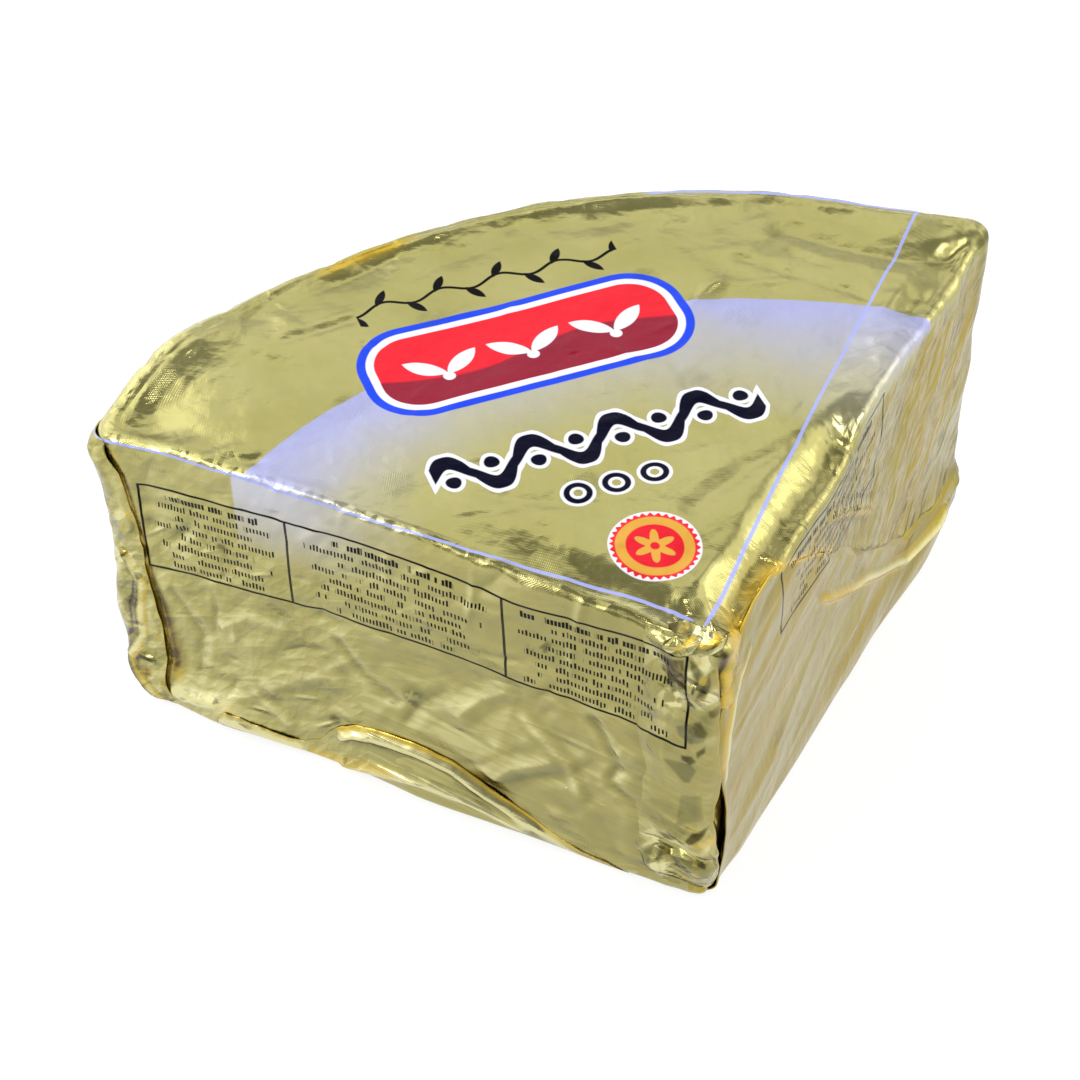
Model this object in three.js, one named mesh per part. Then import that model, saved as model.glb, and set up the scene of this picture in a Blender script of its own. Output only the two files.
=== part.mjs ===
// A shut pack of soft blue cheese: an eighth of a wheel, cut as a quarter sector of
// half its height, and wrapped in gold foil whose ends are folded over the cut faces.
// Units are millimetres and +Z is up. The point of the wedge looks towards -Y and the
// curved rind towards +Y. The origin is on the ground, midway between point and rind.

import * as THREE from 'three';

const { degToRad, smoothstep, clamp, lerp, mapLinear } = THREE.MathUtils;

// Driving dimensions.
const RADIUS = 148;
const HEIGHT = 84;
const HALF_OPENING = degToRad(45.35);

// Rounded edges of the pack.
const POINT_ROUND = 4;
const CORNER_ROUND = 5;
const TOP_ROUND = 2.2;
const BASE_ROUND = { cutFace: 3.2, rind: 11, point: 9 };

// Triangles: steps along each stretch of the outline, and up the section.
const STEPS = { wall: 42, corner: 5, rind: 48, point: 6 };
const ROWS = { baseRound: 4, side: 15, topRound: 3, top: 9 };

// The sharp point would stand at the apex. Rounding sets the real one back from it,
// and the pack is centred on what is left.
const POINT_SET_BACK = POINT_ROUND * (1 / Math.sin(HALF_OPENING) - 1);
const APEX_Y = -(RADIUS + POINT_SET_BACK) / 2;

// The unit vector that leaves the apex at an angle from +Y, positive towards +X.
const ray = (angle) => [Math.sin(angle), Math.cos(angle)];

// A place on a cut face: side is -1 for the left face and 1 for the right one, along
// is the distance from the apex and z the height.
function onFace(side, along, z) {
  const [x, y] = ray(side * HALF_OPENING);
  return new THREE.Vector3(x * along, APEX_Y + y * along, z);
}

// A place on the top face, by its distance from the apex and its bearing in degrees.
function onTop(distance, bearing) {
  const [x, y] = ray(degToRad(bearing));
  return new THREE.Vector3(x * distance, APEX_Y + y * distance, HEIGHT);
}

// How far along a cut face a point lies, and how far inside that face it is.
function faceCoordinates(side, x, y) {
  const [rx, ry] = ray(side * HALF_OPENING);
  const dy = y - APEX_Y;
  return { along: x * rx + dy * ry, depth: dy * rx * side - x * ry * side };
}

// ---- Outline -----------------------------------------------------------------------

// Points of a round from one heading of its outward normal to another, both measured
// anticlockwise from +X.
function arc([cx, cy], radius, from, to, steps) {
  return Array.from({ length: steps }, (_, i) => {
    const heading = from + ((to - from) * i) / steps;
    const [nx, ny] = [Math.cos(heading), Math.sin(heading)];
    return { x: cx + radius * nx, y: cy + radius * ny, nx, ny };
  });
}

// Points of a straight wall, at a depth inside a cut face, between two distances along it.
function wall(side, depth, from, to, steps) {
  const [rx, ry] = ray(side * HALF_OPENING);
  const [nx, ny] = [side * ry, -side * rx];
  return Array.from({ length: steps }, (_, i) => {
    const along = from + ((to - from) * i) / steps;
    return { x: rx * along - nx * depth, y: APEX_Y + ry * along - ny * depth, nx, ny };
  });
}

// The outline in plan, anticlockwise from the start of the right cut face, drawn in by
// one distance from the cut faces and by another from the rind.
function outline(cutInset, rindInset) {
  const cornerCentre = RADIUS - rindInset - CORNER_ROUND;
  const turn = Math.asin((cutInset + CORNER_ROUND) / cornerCentre);
  const bearing = HALF_OPENING - turn;
  const [cx, cy] = ray(bearing);
  const wallStart = (cutInset + POINT_ROUND) / Math.tan(HALF_OPENING);
  const wallEnd = cornerCentre * Math.cos(turn);
  const pointCentre = APEX_Y + (cutInset + POINT_ROUND) / Math.sin(HALF_OPENING);
  const cornerY = APEX_Y + cy * cornerCentre;
  const quarter = Math.PI / 2;
  const [rindFrom, rindTo] = [quarter - bearing, quarter + bearing];
  return [
    ...wall(1, cutInset, wallStart, wallEnd, STEPS.wall),
    ...arc([cx * cornerCentre, cornerY], CORNER_ROUND, -HALF_OPENING, rindFrom, STEPS.corner),
    ...arc([0, APEX_Y], RADIUS - rindInset, rindFrom, rindTo, STEPS.rind),
    ...arc([-cx * cornerCentre, cornerY], CORNER_ROUND, rindTo, Math.PI + HALF_OPENING, STEPS.corner),
    ...wall(-1, cutInset, wallEnd, wallStart, STEPS.wall),
    ...arc([0, pointCentre], POINT_ROUND,
      Math.PI + HALF_OPENING, 2 * Math.PI - HALF_OPENING, STEPS.point),
  ];
}

// Height of the base round at each point of the outline, averaged over its neighbours
// where one stretch meets the next.
function footHeights() {
  const { cutFace, rind, point } = BASE_ROUND;
  const heights = [
    ...Array(STEPS.wall).fill(cutFace),
    ...Array(STEPS.corner + STEPS.rind + STEPS.corner).fill(rind),
    ...Array(STEPS.wall).fill(cutFace),
    ...Array(STEPS.point).fill(point),
  ];
  const reach = 3;
  return heights.map((_, i) => {
    let sum = 0;
    for (let k = -reach; k <= reach; k += 1) {
      sum += heights[(i + k + heights.length) % heights.length];
    }
    return sum / (2 * reach + 1);
  });
}

// ---- Relief ------------------------------------------------------------------------

// Soft swells and hollows of the top: where, how far up, and how wide.
const TOP_SWELLS = [
  { at: onTop(14, 20), rise: -1.5, reach: 16 },
  { at: onTop(3, 0), rise: 1.4, reach: 6 },
  { at: onTop(146, -44), rise: -2.8, reach: 17 },
  { at: onTop(150, -35), rise: 3.2, reach: 17 },
  { at: onTop(147, 44), rise: 1.4, reach: 12 },
  { at: onTop(120, -8), rise: -0.9, reach: 30 },
  { at: onTop(70, 4), rise: 0.5, reach: 30 },
];

// A soft roll along the right edge of the top, which starts and ends gently: how high,
// how far in and how wide, and the stretches over which it grows and dies out.
const EDGE_ROLL = { rise: 2.2, depth: 2, width: 7, grows: [56, 76], dies: [104, 124] };

// Folds that stand out of the sides: a path, how far out, and the half width.
const SIDE_FOLDS = [
  // The hem over the foot of the left face: two long rolls and a short one.
  { path: [[92, 12], [80, 14], [67, 14], [56, 10], [41, 5], [24, 3]], side: -1, rise: 1.9, width: 4.5 },
  { path: [[104, 4], [92, 2.5], [76, 6], [62, 6]], side: -1, rise: 1.6, width: 4.5 },
  { path: [[134, 6], [121, 8], [112, 9]], side: -1, rise: 1.2, width: 4.5 },
  // The foot of the left face swells out beyond the hem and under it.
  { path: [[138, 5], [116, 5]], side: -1, rise: 2.0, width: 8 },
  { path: [[80, 5], [56, 5]], side: -1, rise: 1.0, width: 8 },
  // Creases across the left face.
  { path: [[60, 34], [55, 41], [49, 46]], side: -1, rise: 0.8, width: 5 },
  { path: [[51, 19], [47, 24], [38, 30]], side: -1, rise: 0.8, width: 5 },
  // Crumpled foil at the foot and the head of the point.
  { path: [[13, 20], [5, 22]], side: -1, rise: 1.6, width: 6 },
  { path: [[11, 6], [4, 12]], side: -1, rise: 0.4, width: 6 },
  { path: [[12, 72], [5, 62], [4, 54]], side: -1, rise: -1.3, width: 5 },
  { path: [[9, 80], [3, 76]], side: -1, rise: 1.5, width: 5 },
  // The long rolled edge across the right face, and the swell under it.
  { path: [[57, 50], [66, 39], [77, 31], [86, 26], [102, 16], [116, 7]], side: 1, rise: 1.6, width: 6 },
  { path: [[112, 7], [124, 7]], side: 1, rise: 2.2, width: 14 },
  { path: [[20, 18], [40, 34], [56, 44]], side: 1, rise: 0.7, width: 7 },
  // The open slit beside the point, where the right face's flap stops short.
  { path: [[4.5, 40], [5, 24], [4.5, 10]], side: 1, rise: -2.4, width: 3.2 },
];

// The flap that is folded from the rind over the end of the left face.
const END_FLAP = { rise: 1.4, foot: 136.5, lean: 7.5, leanFrom: 20, leanTo: 80, ramp: 2 };

// The three-cornered flap over the lower part of the right face. Its upper edge falls
// from near the point's head to the foot of the rind corner.
const FACE_FLAP = { rise: 1.5, edgeTop: [26, 80], edgeFoot: [131, 0], ramp: 3, headSweep: 16 };

// The edge between the top and each cut face is turned down in a flat bevel, over a
// stretch that starts beside the point: the right one is long and deep.
const TURNED_EDGES = [
  { side: 1, drop: 4.4, width: 7.5, from: 0, full: 12, ending: 66, to: 84 },
  { side: -1, drop: 2.2, width: 6, from: 2, full: 10, ending: 36, to: 66 },
];

// The rind swells out near the head of the left corner: how far, where and how wide in
// degrees, and the heights between which it grows.
const RIND_SWELL = { rise: 2, bearing: -35, reach: 11, from: 20, full: 66 };

// Upright pleats round the rind, unevenly spaced by a rule.
const PLEATS = { count: 15, depth: 1.1, halfWidth: 0.016, unevenness: 0.022 };

const bell = (distance, width) => Math.exp(-((distance / width) ** 2));

// The shortest distance from a point to a path.
function distanceToPath(point, path) {
  const nearest = new THREE.Vector3();
  const line = new THREE.Line3();
  let least = Infinity;
  for (let i = 1; i < path.length; i += 1) {
    line.set(path[i - 1], path[i]).closestPointToPoint(point, true, nearest);
    least = Math.min(least, nearest.distanceTo(point));
  }
  return least;
}

const FOLD_PATHS = SIDE_FOLDS.map(({ path, side, rise, width }) => ({
  path: path.map(([along, z]) => onFace(side, along, z)), rise, width,
}));

// Height of the top face at a place in plan.
function topHeight(x, y) {
  const flat = new THREE.Vector2(x, y);
  let z = HEIGHT;
  for (const { at, rise, reach } of TOP_SWELLS) {
    z += rise * bell(flat.distanceTo(new THREE.Vector2(at.x, at.y)), reach);
  }
  const right = faceCoordinates(1, x, y);
  const rolled = smoothstep(right.along, ...EDGE_ROLL.grows)
    * (1 - smoothstep(right.along, ...EDGE_ROLL.dies));
  z += EDGE_ROLL.rise * rolled * bell(right.depth - EDGE_ROLL.depth, EDGE_ROLL.width);
  for (const { side, drop, width, from, full, ending, to } of TURNED_EDGES) {
    const { along, depth } = faceCoordinates(side, x, y);
    const stretch = smoothstep(along, from, full) * (1 - smoothstep(along, ending, to));
    z -= drop * stretch * clamp(1 - depth / width, 0, 1);
  }
  return z;
}

// How far the end flap stands out of the left face.
function endFlap(x, y, z) {
  const { along, depth } = faceCoordinates(-1, x, y);
  const { rise, foot, lean, leanFrom, leanTo, ramp } = END_FLAP;
  const edge = foot + lean * clamp((z - leanFrom) / (leanTo - leanFrom), 0, 1) ** 1.5;
  return rise * smoothstep(along, edge - ramp / 2, edge + ramp / 2) * (1 - smoothstep(depth, 4, 9));
}

// How far the three-cornered flap stands out of the right face.
function faceFlap(x, y, z) {
  const { along, depth } = faceCoordinates(1, x, y);
  const { rise, edgeTop, edgeFoot, ramp, headSweep } = FACE_FLAP;
  const upper = mapLinear(along, edgeTop[0], edgeFoot[0], edgeTop[1], edgeFoot[1]);
  const near = 1 + headSweep * clamp((z - 57) / 23, 0, 1) ** 1.5;
  return rise * (1 - smoothstep(z, upper - ramp, upper + ramp))
    * smoothstep(along, near - 1, near + ramp) * (1 - smoothstep(depth, 2, 5));
}

// Pleats pinch the rind in along upright lines, and near one corner it swells out.
function rindRelief(x, y, z) {
  const bearing = Math.atan2(x, y - APEX_Y);
  const { rise, bearing: swellAt, reach, from, full } = RIND_SWELL;
  const swell = rise * bell(bearing - degToRad(swellAt), degToRad(reach)) * smoothstep(z, from, full);
  const { count, depth, halfWidth, unevenness } = PLEATS;
  let pinch = 0;
  for (let i = 0; i < count; i += 1) {
    const even = ((i + 0.5) / count - 0.5) * 1.8 * HALF_OPENING;
    const place = even + unevenness * Math.sin(7.3 * i + 1);
    pinch = Math.max(pinch, bell(bearing - place, halfWidth) * (0.6 + 0.4 * Math.cos(3.1 * i)));
  }
  const fromRind = RADIUS - Math.hypot(x, y - APEX_Y);
  return (swell - depth * pinch) * (1 - smoothstep(fromRind, 3, 12));
}

// All the relief of the sides. It dies out at the ground, so that the base stays flat.
function sideRelief(x, y, z) {
  const point = new THREE.Vector3(x, y, z);
  let out = endFlap(x, y, z) + faceFlap(x, y, z) + rindRelief(x, y, z);
  for (const { path, rise, width } of FOLD_PATHS) {
    out += rise * bell(distanceToPath(point, path), width);
  }
  return out * smoothstep(z, 0, 4);
}

// ---- Surface -----------------------------------------------------------------------

// The levels of the pack's side, from the edge of the flat base to the edge of the top:
// how far each is drawn in, as shares of the base and top rounds, and its height.
function sideLevels() {
  const quarter = Math.PI / 2;
  const levels = [];
  for (let i = 0; i < ROWS.baseRound; i += 1) {
    const turn = (quarter * i) / ROWS.baseRound;
    const height = (foot) => foot * (1 - Math.cos(turn));
    levels.push({ base: 1 - Math.sin(turn), top: 0, height });
  }
  for (let i = 0; i < ROWS.side; i += 1) {
    const height = (foot, head) => lerp(foot, head - TOP_ROUND, i / ROWS.side);
    levels.push({ base: 0, top: 0, height });
  }
  for (let i = 0; i <= ROWS.topRound; i += 1) {
    const turn = (quarter * i) / ROWS.topRound;
    const height = (foot, head) => head - TOP_ROUND * (1 - Math.sin(turn));
    levels.push({ base: 0, top: 1 - Math.cos(turn), height });
  }
  return levels;
}

// The rows of the side, each once round the pack, with their relief.
function sideRows() {
  const feet = footHeights();
  const heads = outline(0, 0).map(({ x, y }) => topHeight(x, y));
  return sideLevels().map(({ base, top, height }) => {
    const cutInset = BASE_ROUND.cutFace * base + TOP_ROUND * top;
    const rindInset = BASE_ROUND.rind * base + TOP_ROUND * top;
    return outline(cutInset, rindInset).map(({ x, y, nx, ny }, c) => {
      const z = height(feet[c], heads[c]);
      const out = (1 - top) * sideRelief(x, y, z);
      return [x + nx * out, y + ny * out, z];
    });
  });
}

// The rows of the top, from its edge in towards the middle.
function topRows(edge, centre) {
  return Array.from({ length: ROWS.top - 1 }, (_, i) => {
    const share = (i + 1) / ROWS.top;
    return edge.map(([ex, ey, ez]) => {
      const [x, y] = [lerp(ex, centre.x, share), lerp(ey, centre.y, share)];
      return [x, y, lerp(ez, topHeight(x, y), smoothstep(share, 0, 0.2))];
    });
  });
}

// The closed surface: all the rows, with one point in the middle of the base and one in
// the middle of the top.
function wrappedWedge() {
  const centre = { x: 0, y: APEX_Y + 0.62 * RADIUS };
  const sides = sideRows();
  const rows = [...sides, ...topRows(sides.at(-1), centre)];
  const columns = rows[0].length;
  const positions = rows.flat(2);
  positions.push(centre.x, centre.y, 0, centre.x, centre.y, topHeight(centre.x, centre.y));
  const [basePole, topPole] = [rows.length * columns, rows.length * columns + 1];
  const topEdge = (rows.length - 1) * columns;
  const index = [];
  for (let c = 0; c < columns; c += 1) {
    const next = (c + 1) % columns;
    index.push(basePole, next, c);
    for (let low = 0; low < topEdge; low += columns) {
      const high = low + columns;
      index.push(low + c, low + next, high + c, low + next, high + next, high + c);
    }
    index.push(topEdge + c, topEdge + next, topPole);
  }
  const geometry = new THREE.BufferGeometry();
  geometry.setAttribute('position', new THREE.Float32BufferAttribute(positions, 3));
  geometry.setIndex(index);
  geometry.computeVertexNormals();
  return geometry;
}

// ---- Scene graph -------------------------------------------------------------------

const goldFoil = new THREE.MeshStandardMaterial({ color: 0xb5b16e, roughness: 0.38, metalness: 0.9 });

const pack = new THREE.Mesh(wrappedWedge(), goldFoil);
pack.name = 'foil_wrapped_wedge';

const object = new THREE.Group();
object.add(pack);

export default object;
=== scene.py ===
"""A shut, foil-wrapped wedge of soft blue cheese: its foil, its folded flaps and its stage.

The wedge is a quarter sector of a half-height wheel. All shapes are worked out in
millimetres in the frame's own axes (+Z up, the point towards -Y) and put into their
meshes in metres."""
import math

import bpy
import numpy as np
from bpy.props import FloatProperty, FloatVectorProperty, IntProperty, PointerProperty
from mathutils import Matrix, Vector


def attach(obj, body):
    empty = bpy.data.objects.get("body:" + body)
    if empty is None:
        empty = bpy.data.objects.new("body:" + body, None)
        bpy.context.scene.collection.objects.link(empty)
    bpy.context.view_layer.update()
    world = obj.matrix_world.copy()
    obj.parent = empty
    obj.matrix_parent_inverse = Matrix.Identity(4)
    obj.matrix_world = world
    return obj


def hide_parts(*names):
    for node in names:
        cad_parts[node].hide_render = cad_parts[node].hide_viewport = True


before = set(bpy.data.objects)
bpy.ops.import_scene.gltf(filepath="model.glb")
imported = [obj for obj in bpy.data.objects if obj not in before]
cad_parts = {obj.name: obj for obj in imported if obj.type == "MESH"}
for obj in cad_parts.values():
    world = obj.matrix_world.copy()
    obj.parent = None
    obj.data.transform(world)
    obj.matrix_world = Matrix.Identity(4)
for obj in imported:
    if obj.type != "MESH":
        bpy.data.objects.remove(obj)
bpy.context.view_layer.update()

bl_info = {
    "name": "Foil-Wrapped Cheese Wedge",
    "version": (1, 0, 0),
    "blender": (4, 5, 0),
    "location": "3D View > Sidebar > Cheese",
    "description": "Builds a shut wedge of cheese in gold foil around its packed solid",
    "category": "Add Mesh",
}

MM = 0.001
NODE = "foil_wrapped_wedge"
BODY = "root"
# A sheet coordinate, in millimetres, that lies beyond all the print.
UNPRINTED = -60.0
# The middle of the crown and of the underside, as a share of the radius from the apex.
MIDDLE = 0.62
PLEATS = 15
# The roll of foil round the rind's edge, by its distance from the apex.
RIM = 145.0
# A cut face in (along, height), and the rind in (round, height), from the sharp point and the
# ground.
FACE_BOX = ((0, 148), (2, 84))
RIND_BOX = ((-118, 118), (2, 84))
# The number of rows and of columns in a table of random values.
LATTICE = 64
# The direction of the painted light, in the pack's own axes: facets that face it are painted pale.
TO_LIGHT = (-0.45, 0.15, 0.88)
# What is added to the seed for the random draw of each part of the pack.
DRAWS = {
    "top": 0, "left": 1, "right": 2, "rind": 3, "base": 4, "nicks": 5, "flecks": 6, "bevel": 8,
    "face_flap": 11, "end_flap": 12, "point_lap": 13, "foot_hem": 14, "point_lip": 15,
}


# ---- Sizes and looks ---------------------------------------------------------------


def length(name, millimetres, description):
    """A length that a user may change, given here in millimetres."""
    return FloatProperty(
        name=name, description=description, default=millimetres * MM, unit="LENGTH"
    )


def angle(name, degrees, description):
    """An angle that a user may change, given here in degrees."""
    return FloatProperty(
        name=name, description=description, default=math.radians(degrees), subtype="ANGLE"
    )


def colour(name, default, description):
    """A colour that a user may change, given as sRGB whole numbers and kept as linear light."""
    linear = [c / 255 / 12.92 if c <= 10 else ((c / 255 + 0.055) / 1.055) ** 2.4 for c in default]
    return FloatVectorProperty(
        name=name, description=description, default=linear, subtype="COLOR", min=0, max=1
    )


class WedgeSizes(bpy.types.PropertyGroup):
    """The driving sizes of the pack."""

    radius: length("Radius", 148, "Of the wheel, from the sharp point to the rind")
    height: length("Height", 84, "From the ground to the flat of the top")
    half_opening: angle("Half opening", 45.35, "From the middle of the wedge to a cut face")
    point_round: length("Point round", 4, "Plan radius of the pointed edge")
    corner_round: length("Corner round", 5, "Plan radius of the two rind corners")
    top_round: length("Top round", 2.2, "Radius of the edge round the top")
    foot_cut: length("Cut foot", 3.2, "Radius of the foot of the cut faces")
    foot_rind: length("Rind foot", 11, "Radius of the foot of the rind")
    foot_point: length("Point foot", 9, "Height of the foot's round at the point")
    foil: length("Foil", 0.28, "Thickness of a folded-over flap of foil")
    seed: IntProperty(name="Seed", description="Starts the draw of the creases", default=7)


class FoilLook(bpy.types.PropertyGroup):
    """The colours of the foil and of its print."""

    gold: colour("Gold", (187, 181, 118), "The lacquered foil")
    # The right face's streaks, below, are painted reflections, in colours darker than the gold as
    # painted shade.
    greyed: colour("Greyed", (161, 147, 80), "Streaks where the lacquer is thin")
    yellowed: colour("Yellowed", (162, 138, 10), "Streaks where the lacquer is thick")
    # Painted shade: the walls below the top's edge are painted darker, most on the left face near
    # the point.
    shaded: colour("Shaded", (160, 152, 95), "The walls towards the point")
    # Painted reflection: the deep gold of foil mirrored in foil inside a fold.
    deep: colour("Deep gold", (212, 174, 30), "Foil that mirrors foil inside a fold")
    # Painted shade: the dark brown in a narrow fold.
    crevice: colour("Crevice", (62, 42, 10), "The dark of a narrow fold")
    pale: colour("Pale", (196, 196, 208), "The pale printed band where it fades out")
    band: colour("Pale band", (176, 180, 228), "The pale printed band at its sharp edge")
    lilac: colour("Lilac", (166, 174, 236), "The thin printed outline")
    white: colour("White", (236, 236, 246), "Printed borders")
    navy: colour("Navy", (8, 9, 34), "The dark shapes under the plaque")
    red: colour("Red", (238, 22, 44), "The plaque")
    dark_red: colour("Dark red", (150, 18, 48), "The plaque's shaded half")
    blue: colour("Blue", (24, 72, 236), "The plaque's border")
    ochre: colour("Ochre", (226, 168, 60), "The ring of the seal")
    ink: colour("Ink", (9, 9, 12), "Lines and small marks")
    roughness: FloatProperty(
        name="Roughness", description="Of the bare foil", default=0.2, min=0, max=1,
        subtype="FACTOR",
    )


class StageLook(bpy.types.PropertyGroup):
    """The camera, the floor and the lights."""

    azimuth: angle("Azimuth", -17.07, "0 looks along +Y")
    elevation: angle("Elevation", 44.21, "Above the horizon")
    roll: angle("Roll", -1.04, "Of the camera")
    distance: length("Distance", 612.7, "From the camera to what it aims at")
    aim: FloatVectorProperty(
        name="Aim", description="Where the camera looks", default=(-0.0121, 0.0053, 0.0419),
        subtype="XYZ",
    )
    lens: FloatProperty(name="Lens", description="Focal length in mm", default=90.3)
    sensor: FloatProperty(name="Sensor", description="Sensor width in mm", default=36.0)
    floor: colour("Floor", (125, 125, 125), "The floor")
    floor_glow: FloatProperty(
        name="Floor glow", description="Light of the floor itself", default=0.84, min=0
    )


# ---- Numbers over whole arrays -----------------------------------------------------


def ease(x, low, high):
    """A smooth step: 0 below low, 1 above high, with a cubic between them."""
    t = np.clip((x - low) / (high - low), 0.0, 1.0)
    return t * t * (3.0 - 2.0 * t)


def fade(x, low, high):
    """The smooth step turned round: 1 below low, 0 above high."""
    return 1 - ease(x, low, high)


def span(x, rise, full, fall, end):
    """1 from full to fall, easing from 0 at rise and back to 0 at end."""
    return ease(x, rise, full) * fade(x, fall, end)


def bell(distance, width):
    """A bell curve that falls to 1/e at the width."""
    return np.exp(-((distance / width) ** 2))


def spot(across, along, width):
    """A round bell, from how far a place lies across and along from its middle."""
    return bell(np.hypot(across, along), width)


def crest(distance, width, sharpness=1.6):
    """A fold's profile: sharp at its line and flat at the width, (1 - d/w) to a power."""
    return np.clip(1.0 - np.abs(distance) / width, 0.0, 1.0) ** sharpness


def runs(*pieces):
    """Places from 0 to 1 along a stretch, evenly spaced inside each (end, count) piece."""
    places, start = [], 0.0
    for end, count in pieces:
        places.append(np.linspace(start, end, count, endpoint=False))
        start = end
    return np.concatenate(places)


def follow(x, chain):
    """The height at x of straight pieces between the places (x, height) of a chain."""
    return np.interp(x, *zip(*chain))


def chain_distance(u, v, chain):
    """Distance of each place (u, v) from a chain of straight pieces, and how far along the
    chain, from 0 to 1, the nearest place lies."""
    chain = np.asarray(chain, float)
    lengths = np.hypot(*np.diff(chain, axis=0).T)
    passed = np.concatenate([[0.0], np.cumsum(lengths)])
    best = np.full(np.shape(u), np.inf)
    where = np.zeros(np.shape(u))
    for start, end, size, before in zip(chain[:-1], chain[1:], lengths, passed):
        du, dv = (end - start) / size
        along = np.clip((u - start[0]) * du + (v - start[1]) * dv, 0.0, size)
        distance = np.hypot(u - start[0] - du * along, v - start[1] - dv * along)
        nearer = distance < best
        best = np.where(nearer, distance, best)
        where = np.where(nearer, (before + along) / passed[-1], where)
    return best, where


def chain_folds(u, v, folds):
    """Named folds added up: each is a crest across its chain. folds holds a chain, a rise and
    a width for each."""
    total = 0
    for chain, rise, width in folds:
        total = total + rise * crest(chain_distance(u, v, chain)[0], width, 1.2)
    return total


def lattice(table, i, j):
    """The random value at a lattice point; the table repeats."""
    return table[i % LATTICE, j % LATTICE]


def soft_noise(u, v, cell, rng):
    """Smooth noise from -1 to 1: random values on a lattice of the cell's size, eased between."""
    table = rng.uniform(-1.0, 1.0, (LATTICE, LATTICE))
    u, v = u / cell + 17.0, v / cell + 17.0
    i, j = np.floor(u).astype(int), np.floor(v).astype(int)
    fu, fv = ease(u - i, 0.0, 1.0), ease(v - j, 0.0, 1.0)
    low = lattice(table, i, j) * (1 - fu) + lattice(table, i + 1, j) * fu
    high = lattice(table, i, j + 1) * (1 - fu) + lattice(table, i + 1, j + 1) * fu
    return low * (1 - fv) + high * fv


def wander(x, cell, rng):
    """Smooth noise along a line."""
    return soft_noise(x, 0 * x, cell, rng)


def lifted(plan, level, lift):
    """Places at a level, raised off a plan (x, y and outward normal) by lift."""
    x, y, nx, ny = plan
    return np.stack([x + nx * lift, y + ny * lift, level], axis=-1)


def strongest(*fields):
    """The greatest of several fields at each place."""
    return np.max(np.broadcast_arrays(*fields), axis=0)


def facets(u, v, cell, rng, stretch=1.0, heading=0.0):
    """Crumpled foil, from -1 to 1: each point of a lattice of triangles has a random height,
    and the triangles between them are flat. The lattice is longer by stretch along the
    heading, in degrees, and soft noise bends it, so its ridges wander."""
    table = rng.uniform(-1.0, 1.0, (LATTICE, LATTICE))
    c, s = math.cos(math.radians(heading)), math.sin(math.radians(heading))
    a = (u * c + v * s) / (cell * stretch) + 23.0
    b = (v * c - u * s) / cell + 23.0
    a, b = a + 0.22 * soft_noise(a, b, 1.3, rng), b + 0.22 * soft_noise(a, b, 1.3, rng)
    skew = (a + b) * 0.366
    a, b = a + skew, b + skew
    i, j = np.floor(a).astype(int), np.floor(b).astype(int)
    fa, fb = a - i, b - j
    h00, h11 = lattice(table, i, j), lattice(table, i + 1, j + 1)
    h10, h01 = lattice(table, i + 1, j), lattice(table, i, j + 1)
    below = h00 + (h10 - h00) * fa + (h11 - h10) * fb
    above = h00 + (h01 - h00) * fb + (h11 - h01) * fa
    return np.where(fa > fb, below, above)


def crumple(u, v, rng, sizes, stretch=1.0, heading=0.0):
    """Facets of several sizes added up. sizes holds pairs of a cell and a height."""
    total = np.zeros(np.shape(u))
    for cell, height in sizes:
        total += height * facets(u, v, cell, rng, stretch, heading)
    return total


def creases(u, v, rng, count, box, size, width, height, heading):
    """Straight creases drawn at random in a box. Each is a crest across its line, and dies
    out towards its ends as a squared cosine. size, width and height are (least, most), and
    heading is (mean, spread) in degrees."""
    (u0, u1), (v0, v1) = box
    total = np.zeros(np.shape(u))
    for _ in range(count):
        cu, cv = rng.uniform(u0, u1), rng.uniform(v0, v1)
        angle = math.radians(heading[0] + heading[1] * rng.uniform(-1.0, 1.0))
        half, reach, rise = rng.uniform(*size) / 2, rng.uniform(*width), rng.uniform(*height)
        rise *= rng.choice([-1.0, 1.0])
        bow = 0.12 * rng.uniform(-1.0, 1.0)
        near = (np.abs(u - cu) < half + reach) & (np.abs(v - cv) < half + reach)
        du, dv = u[near] - cu, v[near] - cv
        along = du * math.cos(angle) + dv * math.sin(angle)
        across = dv * math.cos(angle) - du * math.sin(angle) + bow * along**2 / half
        window = np.cos(np.clip(along / half, -1.0, 1.0) * math.pi / 2) ** 2
        total[near] += rise * crest(across, reach) * window
    return total


def painted_shading(relief, u, v, gain=7.0):
    """Painted light and shade from a relief, from -1 to 1: its slope along u less that along
    v, as if lit from one side, with its ridges painted lighter and its valleys painted
    darker. u grows along the second axis of the grid and v along the first."""

    def slope(places, axis):
        step = np.gradient(places, axis=axis)
        return np.gradient(relief, axis=axis) / np.where(np.abs(step) < 0.05, 0.05, step)

    blurred = sum(np.roll(relief, shift, axis) for shift in (-3, -1, 1, 3) for axis in (0, 1)) / 8
    facing = 0.6 * (slope(u, 1) - slope(v, 0)) + 0.9 * (relief - blurred)
    return np.clip(gain * facing, -1.0, 1.0)


# ---- The wedge's surface -----------------------------------------------------------


# The swells of the top: (distance from the apex, bearing in degrees, rise, reach).
TOP_SWELLS = (
    (14, 20, -1.5, 16), (4, 0, -2.6, 9), (146, -44, -2.8, 17), (150, -35, 3.2, 17),
    (147, 44, 1.4, 12), (120, -8, -0.9, 30), (70, 4, 0.5, 30),
)
# The flat bevels where the top is turned down along a cut face: (side, drop, stretch, reach).
# stretch is where each starts, is full, starts to end and ends, and reach is a chain of (along,
# how far in).
BEVELS = (
    (1, 4.4, (0, 12, 66, 84), ((0, 7.5), (148, 7.5))),
    (1, 1.6, (98, 110, 141, 148), ((100, 3.0), (112, 5.0), (146, 1.6))),
    (-1, 2.0, (2, 10, 36, 70), ((10, 5.2), (66, 2.4))),
)
# Crumpled stretches along the edges of the top: (side, start, end, reach, rise).
RIPPLES = ((-1, 82, 150, 6.0, 0.45), (-1, 8, 60, 5.0, 0.15), (1, 84, 150, 6.0, 0.7))
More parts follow.
